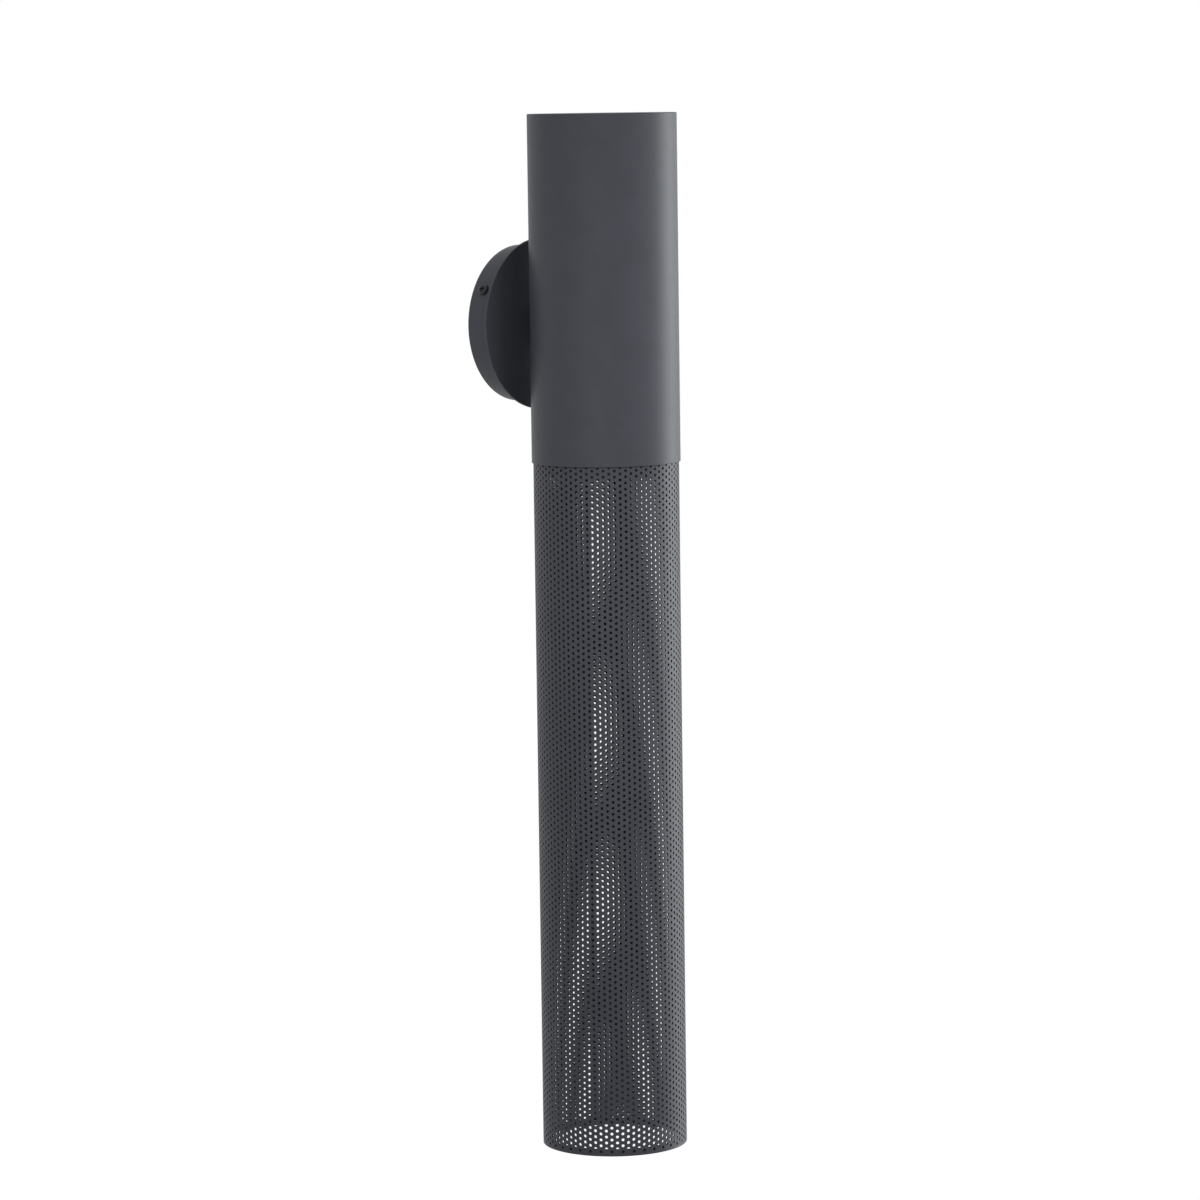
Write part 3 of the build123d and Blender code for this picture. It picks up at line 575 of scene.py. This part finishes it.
def make_rings(finish):
    """The rings inside the sleeve, behind the joint and at the lower end."""
    outline = rounded([
        (RING_IR, COUPLER_BOTTOM, SOFT_EDGE),
        (RING_R, COUPLER_BOTTOM, SOFT_EDGE),
        (RING_R, SLEEVE_TOP, SOFT_EDGE),
        (RING_IR, SLEEVE_TOP, SOFT_EDGE),
    ])
    wear(lathe("coupler_ring", outline, TUBE), finish, replaces=["sleeve_coupler"])
    outline = rounded([
        (RING_IR, SLEEVE_BOTTOM, FOOT_RING_EDGE),
        (RING_R, SLEEVE_BOTTOM, FINE_EDGE),
        (RING_R, SLEEVE_BOTTOM + END_RING_HEIGHT, FINE_EDGE),
        (RING_IR, SLEEVE_BOTTOM + END_RING_HEIGHT, FOOT_RING_EDGE),
    ])
    wear(lathe("foot_ring", outline, TUBE), finish, replaces=["end_ring"])


def make_canopy(finish):
    """The round box on the wall and the wider plate on its front."""
    outline = rounded([
        (DRUM_IR, 0, FINE_EDGE),
        (DRUM_R, 0, SOFT_EDGE),
        (DRUM_R, DRUM_DEPTH, DRUM_EDGE),
        (NIPPLE_HOLE_R, DRUM_DEPTH, 0),
        (NIPPLE_HOLE_R, DRUM_DEPTH - DRUM_WALL, 0),
        (DRUM_IR, DRUM_DEPTH - DRUM_WALL, DRUM_INNER_EDGE),
    ])
    wear(lathe("canopy_shell", outline, CANOPY), finish, replaces=["canopy_drum"])
    outline = rounded([
        (NIPPLE_HOLE_R, DRUM_DEPTH, 0),
        (PLATE_R, DRUM_DEPTH, PLATE_EDGE),
        (PLATE_R, PLATE_FRONT, PLATE_EDGE),
        (NIPPLE_HOLE_R, PLATE_FRONT, 0),
    ])
    wear(lathe("face_plate", outline, CANOPY), finish, replaces=["canopy_face"])


# Screws, threads, lamp and leads

def cross_recess(head, height):
    """Outline, depth and foot of a cross in a screw's head."""
    reach, half = CROSS_REACH * head, RECESS_HALF_WIDTH * head
    arm = [(reach, -half), (reach, half), (half, half)]
    outline = arm + [(-y, x) for x, y in arm] + [(-x, -y) for x, y in arm] + [(y, -x) for x, y in arm]
    return outline, CROSS_DEPTH * height, CROSS_FOOT


def slot_recess(head, height):
    """Outline, depth and foot of a plain slot across a screw's head."""
    reach, half = SLOT_REACH * head, RECESS_HALF_WIDTH * head
    outline = [(-reach, -half), (reach, -half), (reach, half), (-reach, half)]
    return outline, SLOT_DEPTH * height, 1.0


def make_screw(name, node, sizes, place, finish, recess):
    """A pan head screw with a cross or a slot in its head."""
    head, height, shank, length = sizes
    outline = rounded([
        (0, -length, 0),
        (shank, -length, SOFT_EDGE),
        (shank, 0, 0),
        (head, 0, 0),
        (head, height, HEAD_ROUNDING * height),
        (0, height, 0),
    ])
    piece = lathe(name, outline, place, SCREW_SIDES)
    shape, depth, foot = recess(head, height)
    cut(piece, prism(name + "_recess", shape, height - depth, height + RECESS_SPARE, foot, place))
    wear(piece, finish, replaces=[node])


def make_outer_screws(finish):
    """The screws in the canopy's side and in the body's back."""
    for number, angle in enumerate(CANOPY_SCREW_ANGLES, 1):
        name = f"canopy_screw_{number}"
        out = along_wall(angle)
        place = facing(out * DRUM_R - Vector((0, CANOPY_SCREW_FROM_WALL, 0)), out)
        make_screw(name, "canopy_screws", CANOPY_SCREW, place, finish, cross_recess)
    for number, angle in enumerate(SLEEVE_SCREW_ANGLES, 1):
        name = f"sleeve_screw_{number}"
        out = Vector((math.cos(math.radians(angle)), math.sin(math.radians(angle)), 0))
        place = facing(out * BODY_R + Vector((0, -BODY_AXIS, SLEEVE_SCREW_HEIGHT)), out)
        make_screw(name, "sleeve_screws", SLEEVE_SCREW, place, finish, cross_recess)


def make_inner_screws(finishes):
    """The screws on the wall bracket and the terminal block, inside the canopy."""
    to_wall, from_wall = (0, 1, 0), (0, -1, 0)
    green, steel, brass = (finishes[slot] for slot in ("earth_green", "plated_steel", "contact_brass"))
    spot = along_wall(EARTH_SCREW_ANGLE) * EARTH_SCREW_REACH - Vector((0, EARTH_SCREW_FROM_WALL, 0))
    place = facing(spot, from_wall)
    make_screw("earth_screw_head", "earth_screw", EARTH_SCREW, place, green, cross_recess)
    place = facing(BLOCK_SCREW_PLACE, to_wall)
    make_screw("block_screw_head", "block_screw", BLOCK_SCREW, place, steel, cross_recess)
    for number, spot in enumerate(TERMINAL_SCREW_PLACES, 1):
        name = f"terminal_screw_{number}"
        place = facing(spot, to_wall)
        make_screw(name, "terminal_screws", TERMINAL_SCREW, place, brass, slot_recess)


def thread_wave(turn, height, pitch):
    """How deep a thread is at a turn and height: 0 on its crest and 1 in its root."""
    return 0.5 + 0.5 * np.cos(2 * math.pi * height / pitch - turn)


def make_nipple(name, node, ends, place, finish):
    """A hollow tube with a fine thread over its whole length."""
    def thread(turn, radius, height):
        return THREAD_DEPTH * thread_wave(turn, height, THREAD_PITCH) * (radius > NIPPLE_R - FLANK)

    low, high = ends
    outline = [(NIPPLE_BORE_R, low), (NIPPLE_R, low), (NIPPLE_R, high), (NIPPLE_BORE_R, high)]
    outline = divided(np.array(outline), THREAD_PITCH / THREAD_STEPS)
    piece = lathe(name, outline, place, NIPPLE_SIDES, thread)
    wear(piece, finish, replaces=[node])


def make_lamp_cap(finish):
    """The lamp's screw cap, with a rolled thread that fades out near its lower end and stops at its taper."""
    def thread(turn, radius, height):
        start = LAMP_CAP_BOTTOM + LAMP_THREAD_START
        fade = np.clip((height - start) / LAMP_THREAD_FADE, 0, 1) * (radius > LAMP_CAP_R - FLANK)
        return LAMP_THREAD_DEPTH * thread_wave(turn, height, LAMP_THREAD_PITCH) * fade

    outline = np.array([
        (0, LAMP_CAP_BOTTOM),
        (LAMP_CAP_R, LAMP_CAP_BOTTOM),
        (LAMP_CAP_R, LAMP_CAP_TOP - LAMP_CAP_TAPER),
        (LAMP_CAP_R - LAMP_CAP_TAPER, LAMP_CAP_TOP),
        (0, LAMP_CAP_TOP),
    ])
    outline = divided(outline, LAMP_THREAD_PITCH / LAMP_THREAD_STEPS)
    piece = lathe("lamp_screw_cap", outline, TUBE, LAMP_CAP_SIDES, thread)
    wear(piece, finish, replaces=["lamp_cap"], body="lamp")


def make_lamp_housing(finish):
    """The lamp's white cone, with shallow cooling grooves down its flank."""
    def grooves(turn, radius, height):
        above = np.clip((height - LAMP_FLARE_BOTTOM) / GROOVE_FADE, 0, 1)
        below = np.clip((LAMP_NECK_BOTTOM - height) / GROOVE_FADE, 0, 1)
        wave = np.clip(GROOVE_STEEPNESS * np.cos(turn * GROOVES) - GROOVE_NARROWING, 0, 1)
        return GROOVE_DEPTH * wave * above * below * (radius > LAMP_NECK_R)

    seat = LENS_R + SLIP_FIT
    outline = rounded([
        (seat, LAMP_BOTTOM, LAMP_SEAT_EDGE),
        (LAMP_R, LAMP_BOTTOM, LAMP_RIM_EDGE),
        (LAMP_R, LAMP_FLARE_BOTTOM, LAMP_FLARE_EDGE),
        (LAMP_NECK_R, LAMP_NECK_BOTTOM, LAMP_NECK_EDGE),
        (LAMP_NECK_R, LAMP_CAP_BOTTOM, 0),
        (0, LAMP_CAP_BOTTOM, 0),
        (0, LENS_TOP, 0),
        (seat, LENS_TOP, 0),
    ])
    piece = lathe("lamp_cone", divided(outline, LAMP_STEP), TUBE, LAMP_SIDES, grooves)
    wear(piece, finish, replaces=["lamp_housing"], body="lamp")


def make_lamp_lens(finish):
    """The frosted front: a shallow dome with fine rings."""
    share = np.linspace(0, 1, LENS_RINGS * LENS_RING_STEPS + 1)
    dome = LENS_MIDDLE + (LENS_EDGE - LENS_MIDDLE) * share**2
    dome = dome + LENS_RING_DEPTH * (0.5 - 0.5 * np.cos(2 * math.pi * LENS_RINGS * share))
    face = np.stack([share * LENS_R, dome], -1)
    outline = np.vstack([face, [(LENS_R, LENS_TOP), (0, LENS_TOP)]])
    wear(lathe("lamp_glass", outline, TUBE), finish, replaces=["lamp_lens"], body="lamp")


def make_lead(name, node, side, finish):
    """A round lead on a smooth curve from the lampholder through the nipple to its pole."""
    route = [(side * LEAD_SPREAD, -out, height) for out, height in LEAD_RUN]
    route += [(side * POLE_REACH, -out, height) for out, height in LEAD_POLE_RUN]
    curve = bpy.data.curves.new(name, "CURVE")
    curve.dimensions = "3D"
    curve.bevel_depth = LEAD_R * MM
    curve.bevel_resolution = LEAD_ROUNDNESS
    curve.use_fill_caps = True
    spline = curve.splines.new("NURBS")
    spline.points.add(len(route) - 1)
    for point, corner in zip(spline.points, route):
        point.co = (*(Vector(corner) * MM), 1)
    spline.order_u = 3
    spline.use_endpoint_u = True
    piece = bpy.data.objects.new(name, curve)
    bpy.context.scene.collection.objects.link(piece)
    wear(piece, finish, replaces=[node])


def make_fittings(finishes):
    steel = finishes["plated_steel"]
    make_outer_screws(finishes["black_screw"])
    make_inner_screws(finishes)
    make_nipple("canopy_nipple", "mounting_nipple", MOUNTING_NIPPLE, CANOPY, steel)
    make_nipple("lampholder_nipple", "holder_nipple", HOLDER_NIPPLE, TUBE, steel)
    make_lamp_cap(finishes["cap_nickel"])
    make_lamp_housing(finishes["lamp_white"])
    make_lamp_lens(finishes["lamp_front"])
    make_lead("lead_live", "live_lead", -1, finishes["lead_black"])
    make_lead("lead_neutral", "neutral_lead", 1, finishes["lead_white"])


# Materials

NODE_FINISHES = {
    "powder_coat": "canopy_drum canopy_face neck_spacer body_tube top_cap perforated_sleeve"
    " sleeve_coupler end_ring",
    "black_screw": "canopy_screws sleeve_screws",
    "plated_steel": "wall_bracket mounting_nipple nipple_washers nipple_nuts saddle_plate angle_bracket"
    " holder_nipple holder_washer holder_nut block_screw",
    "earth_green": "earth_screw",
    "seal_rubber": "neck_seal",
    "porcelain": "lampholder",
    "contact_brass": "screw_shell centre_contact terminal_screws",
    "cap_nickel": "lamp_cap lamp_tip",
    "lamp_white": "lamp_housing",
    "lamp_black": "lamp_insulator",
    "lamp_front": "lamp_lens",
    "nylon": "terminal_block lead_bushings",
    "lead_black": "live_lead",
    "lead_white": "neutral_lead",
}


class Nodes:
    """Short calls for building one material's nodes."""

    def __init__(self, name):
        self.material = bpy.data.materials.new(name)
        self.material.use_nodes = True
        self.tree = self.material.node_tree
        self.shader = self.tree.nodes["Principled BSDF"]
        self.place = self.tree.nodes.new("ShaderNodeTexCoord").outputs["Object"]

    def link(self, source, target):
        self.tree.links.new(source, target)

    def noise(self, scale, detail=3.0, rough=0.55, stretch=None):
        node = self.tree.nodes.new("ShaderNodeTexNoise")
        node.inputs["Scale"].default_value = scale
        node.inputs["Detail"].default_value = detail
        node.inputs["Roughness"].default_value = rough
        place = self.place
        if stretch:
            mapping = self.tree.nodes.new("ShaderNodeMapping")
            mapping.inputs["Scale"].default_value = stretch
            self.link(self.place, mapping.inputs["Vector"])
            place = mapping.outputs["Vector"]
        self.link(place, node.inputs["Vector"])
        return node.outputs["Fac"]

    def map_range(self, source, start, end, low, high):
        """Maps the values from start to end onto those from low to high."""
        node = self.tree.nodes.new("ShaderNodeMapRange")
        node.inputs["From Min"].default_value = start
        node.inputs["From Max"].default_value = end
        node.inputs["To Min"].default_value = low
        node.inputs["To Max"].default_value = high
        self.link(source, node.inputs["Value"])
        return node.outputs["Result"]

    def colours(self, source, dark, light):
        """Colours the surface by a noise, from a dark to a light tint."""
        node = self.tree.nodes.new("ShaderNodeValToRGB")
        node.color_ramp.elements[0].position = NOISE_LOW
        node.color_ramp.elements[0].color = (*dark, 1)
        node.color_ramp.elements[1].position = NOISE_HIGH
        node.color_ramp.elements[1].color = (*light, 1)
        self.link(source, node.inputs["Fac"])
        self.link(node.outputs["Color"], self.shader.inputs["Base Color"])
        return node.outputs["Color"]

    def paint_shadow_up_to(self, colour, height, reach, share):
        """Darkens the colour just below a height, most at that height: a painted shadow under the edge of a
        joint.
        """
        axes = self.tree.nodes.new("ShaderNodeSeparateXYZ")
        self.link(self.place, axes.inputs["Vector"])
        fade = self.map_range(axes.outputs["Z"], (height - reach) * MM, height * MM, 1.0, share)
        shade = self.tree.nodes.new("ShaderNodeVectorMath")
        shade.operation = "SCALE"
        self.link(colour, shade.inputs["Vector"])
        self.link(fade, shade.inputs["Scale"])
        self.link(shade.outputs["Vector"], self.shader.inputs["Base Color"])

    def bump(self, source, strength, depth):
        node = self.tree.nodes.new("ShaderNodeBump")
        node.inputs["Strength"].default_value = strength
        node.inputs["Distance"].default_value = depth * MM
        self.link(source, node.inputs["Height"])
        self.link(node.outputs["Normal"], self.shader.inputs["Normal"])

    def roughness(self, source, low, high):
        spread = self.map_range(source, NOISE_LOW, NOISE_HIGH, low, high)
        self.link(spread, self.shader.inputs["Roughness"])

    def set(self, **values):
        for name, value in values.items():
            self.shader.inputs[name.replace("_", " ")].default_value = value


def tints(colour, change):
    """A darker and a lighter tint of a colour."""
    return [tuple(part * (1 + way * change) for part in colour) for way in (-1, 1)]


def powder_coat(name, colour, rough=(0.42, 0.56), joint=None):
    """Matt baked powder: faint clouds of colour and a fine orange peel, with a painted shadow just below a
    joint.
    """
    nodes = Nodes(name)
    clouds = nodes.colours(nodes.noise(scale=45), *tints(colour, change=0.06))
    if joint:
        nodes.paint_shadow_up_to(clouds, *joint)
    grain = nodes.noise(scale=1500, detail=2.0)
    nodes.roughness(grain, *rough)
    nodes.bump(grain, strength=0.25, depth=0.1)
    nodes.set(Specular_IOR_Level=0.22)
    return nodes.material


def plated_steel(name, colour, rough=(0.22, 0.42)):
    """Zinc plate with a fine drawn grain."""
    nodes = Nodes(name)
    nodes.colours(nodes.noise(scale=160, detail=4.0), *tints(colour, change=0.12))
    drawn = nodes.noise(scale=900, stretch=(0.08, 1.0, 1.0))
    nodes.roughness(drawn, *rough)
    nodes.bump(drawn, strength=0.12, depth=0.05)
    nodes.set(Metallic=1.0)
    return nodes.material


def brushed_metal(name, colour, rough=(0.2, 0.36)):
    """Spun brass or nickel with rings of fine scratches."""
    nodes = Nodes(name)
    nodes.colours(nodes.noise(scale=260, detail=4.0), *tints(colour, change=0.1))
    rings = nodes.noise(scale=1400, detail=2.0, stretch=(0.1, 0.1, 1.0))
    nodes.roughness(rings, *rough)
    nodes.bump(rings, strength=0.1, depth=0.04)
    nodes.set(Metallic=1.0)
    return nodes.material


def porcelain(name, colour, rough=(0.12, 0.2)):
    """Glazed white porcelain with faint specks and a slightly wavy glaze."""
    nodes = Nodes(name)
    nodes.colours(nodes.noise(scale=420, detail=5.0, rough=0.7), *tints(colour, change=0.035))
    wave = nodes.noise(scale=140, detail=2.0)
    nodes.roughness(wave, *rough)
    nodes.bump(wave, strength=0.08, depth=0.2)
    nodes.set(Coat_Weight=0.5, Coat_Roughness=0.08)
    return nodes.material


def moulded_plastic(name, colour, rough=(0.35, 0.5), change=0.04):
    """Moulded plastic or rubber with a fine spark-eroded texture."""
    nodes = Nodes(name)
    nodes.colours(nodes.noise(scale=90), *tints(colour, change))
    grain = nodes.noise(scale=2200, detail=2.0)
    nodes.roughness(grain, *rough)
    nodes.bump(grain, strength=0.15, depth=0.06)
    return nodes.material


def make_materials():
    """Makes all finishes, and gives each CAD node its own."""
    # where the painted shadow under the body's edge starts, how far down it reaches and how dark it is
    joint = (BODY_BOTTOM, JOINT_SHADOW_REACH, JOINT_SHADOW_SHARE)
    made = {
        "powder_coat": powder_coat("powder_coat_graphite", GRAPHITE),
        # the sleeve's paint carries a painted shadow in a thin line just under the body's edge
        "powder_coat_sleeve_painted_shadow": powder_coat("powder_coat_sleeve_painted_shadow", GRAPHITE, joint=joint),
        # a darker paint for the rings behind the holes: painted shade for the shade inside the sleeve
        "powder_coat_painted_shade": powder_coat("powder_coat_painted_shade", (0.016, 0.016, 0.019), rough=(0.6, 0.75)),
        "black_screw": powder_coat("screw_black_oxide", (0.02, 0.02, 0.022), rough=(0.3, 0.45)),
        "plated_steel": plated_steel("steel_zinc_plate", (0.56, 0.57, 0.58)),
        "earth_green": powder_coat("screw_green", (0.04, 0.26, 0.09), rough=(0.25, 0.4)),
        "seal_rubber": moulded_plastic(
            "rubber_black", (0.025, 0.025, 0.025), rough=(0.6, 0.75), change=0.1),
        "porcelain": porcelain("porcelain_glazed", (0.82, 0.8, 0.75)),
        "contact_brass": brushed_metal("brass_spun", (0.72, 0.55, 0.27)),
        "cap_nickel": brushed_metal("nickel_spun", (0.7, 0.69, 0.66)),
        "lamp_white": moulded_plastic("lamp_white", (0.84, 0.84, 0.82)),
        "lamp_black": moulded_plastic(
            "lamp_insulator_black", (0.03, 0.03, 0.035), rough=(0.15, 0.25), change=0.1),
        "lamp_front": moulded_plastic(
            "lamp_front_frosted", (0.86, 0.86, 0.83), rough=(0.3, 0.4), change=0.02),
        "nylon": moulded_plastic("nylon_natural", (0.78, 0.77, 0.72)),
        "lead_black": moulded_plastic("lead_black", (0.03, 0.03, 0.03), rough=(0.35, 0.45), change=0.1),
        "lead_white": moulded_plastic("lead_white", (0.8, 0.8, 0.78)),
    }
    for slot, names in NODE_FINISHES.items():
        for name in names.split():
            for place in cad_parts[name].material_slots:
                place.material = made[slot]
    return made


# Stage

def seen_directly(tree):
    """1 for camera rays, mirror rays and rays through glass, which see the white background."""
    path = tree.nodes.new("ShaderNodeLightPath")
    seen = path.outputs["Is Camera Ray"]
    for kind in ("Is Glossy Ray", "Is Transmission Ray"):
        either = tree.nodes.new("ShaderNodeMath")
        either.operation = "MAXIMUM"
        tree.links.new(seen, either.inputs[0])
        tree.links.new(path.outputs[kind], either.inputs[1])
        seen = either.outputs[0]
    return seen


def mixed(tree, share, first, second):
    """A shader that goes from the first to the second as the share goes from 0 to 1."""
    mix = tree.nodes.new("ShaderNodeMixShader")
    tree.links.new(share, mix.inputs["Fac"])
    tree.links.new(first.outputs[0], mix.inputs[1])
    tree.links.new(second.outputs[0], mix.inputs[2])
    return mix


def make_world():
    """Soft light from all sides, in front of a white background."""
    world = bpy.data.worlds.new("studio")
    bpy.context.scene.world = world
    world.use_nodes = True
    tree = world.node_tree
    soft = tree.nodes["Background"]
    soft.inputs["Color"].default_value = (*WORLD_TINT, 1)
    soft.inputs["Strength"].default_value = WORLD_LIGHT
    white = tree.nodes.new("ShaderNodeBackground")
    white.inputs["Color"].default_value = (1, 1, 1, 1)
    both = mixed(tree, seen_directly(tree), soft, white)
    tree.links.new(both.outputs[0], tree.nodes["World Output"].inputs["Surface"])


def floor_material():
    """Pale paint, white to the camera, and clear from below so that a view from there is open."""
    made = bpy.data.materials.new("floor_pale")
    made.use_nodes = True
    tree = made.node_tree
    tree.nodes.remove(tree.nodes["Principled BSDF"])
    paint = tree.nodes.new("ShaderNodeBsdfDiffuse")
    paint.inputs["Color"].default_value = (*FLOOR_PAINT, 1)
    white = tree.nodes.new("ShaderNodeEmission")
    white.inputs["Strength"].default_value = FLOOR_WHITE
    share = tree.nodes.new("ShaderNodeMath")
    share.operation = "MULTIPLY"
    share.inputs[1].default_value = FLOOR_WHITE_SHARE
    tree.links.new(seen_directly(tree), share.inputs[0])
    top = mixed(tree, share.outputs[0], paint, white)
    clear = tree.nodes.new("ShaderNodeBsdfTransparent")
    side = tree.nodes.new("ShaderNodeNewGeometry")
    both = mixed(tree, side.outputs["Backfacing"], top, clear)
    tree.links.new(both.outputs[0], tree.nodes["Material Output"].inputs["Surface"])
    return made


def make_floor():
    corners = [(-1, -1), (1, -1), (1, 1), (-1, 1)]
    points = [(x * FLOOR_HALF_WIDTH, y * FLOOR_HALF_WIDTH, FLOOR_HEIGHT) for x, y in corners]
    floor = new_piece("floor", points, [(0, 1, 2, 3)], Matrix.Identity(4))
    floor.data.materials.append(floor_material())


def make_light(name, azimuth, elevation, distance, size, power, aim, glossy=True, colour=(1, 1, 1)):
    """A soft lamp aimed at a height of the tube. Azimuth 0 is in front of the wall, 90 towards +X."""
    light = bpy.data.lights.new(name, "AREA")
    light.shape = "RECTANGLE"
    light.size, light.size_y = size
    light.energy = power
    light.color = colour
    lamp = bpy.data.objects.new(name, light)
    turn, lift = math.radians(azimuth), math.radians(elevation)
    back = Vector((math.sin(turn) * math.cos(lift), -math.cos(turn) * math.cos(lift), math.sin(lift)))
    lamp.location = Vector((0, -BODY_AXIS * MM, aim)) + back * distance
    lamp.rotation_euler = back.to_track_quat("Z", "Y").to_euler()
    lamp.visible_camera = False
    lamp.visible_glossy = glossy
    bpy.context.scene.collection.objects.link(lamp)


def make_lights():
    make_light("key", azimuth=67, elevation=8, distance=2.6, size=(1.4, 2.2), power=41, aim=-0.1,
               colour=(0.93, 1, 0.97))
    make_light("key_low", azimuth=67, elevation=-6, distance=2.6, size=(1.4, 2.2), power=24, aim=-0.3)
    make_light("right", azimuth=5, elevation=10, distance=0.9, size=(0.6, 0.4), power=4.0, aim=-0.08,
               glossy=False)
    make_light("left", azimuth=-70, elevation=0, distance=0.5, size=(0.3, 0.3), power=0.74, aim=-0.17,
               glossy=False, colour=(1, 0.93, 0.85))
    make_light("left_top", azimuth=-78, elevation=10, distance=0.6, size=(0.4, 0.3), power=0.76, aim=0.14,
               glossy=False, colour=(0.85, 1, 0.95))
    make_light("top", azimuth=-50, elevation=70, distance=1.9, size=(1.6, 1.6), power=7, aim=0.0)


def make_camera():
    ahead = Vector((-math.sin(CAMERA_HEADING), math.cos(CAMERA_HEADING), 0)) * math.cos(CAMERA_PITCH)
    ahead.z = -math.sin(CAMERA_PITCH)
    right = ahead.cross(Vector((0, 0, 1))).normalized()
    up = right.cross(ahead)
    tilted = right * math.cos(CAMERA_ROLL) + up * math.sin(CAMERA_ROLL)
    up = up * math.cos(CAMERA_ROLL) - right * math.sin(CAMERA_ROLL)
    data = bpy.data.cameras.new("camera")
    data.sensor_width = SENSOR
    data.lens = CAMERA_LENS
    camera = bpy.data.objects.new("camera", data)
    turn = Matrix((tilted, up, -ahead)).transposed().to_4x4()
    camera.matrix_world = Matrix.Translation(CAMERA_PLACE) @ turn
    bpy.context.scene.collection.objects.link(camera)
    bpy.context.scene.camera = camera


finishes = make_materials()
make_body(finishes["powder_coat"])
make_sleeve(finishes["powder_coat_sleeve_painted_shadow"])
# the rings wear the darker paint, which is painted shade behind the holes
make_rings(finishes["powder_coat_painted_shade"])
make_canopy(finishes["powder_coat"])
make_fittings(finishes)

make_world()
make_floor()
make_lights()
make_camera()
bpy.context.scene.view_settings.view_transform = "Standard"
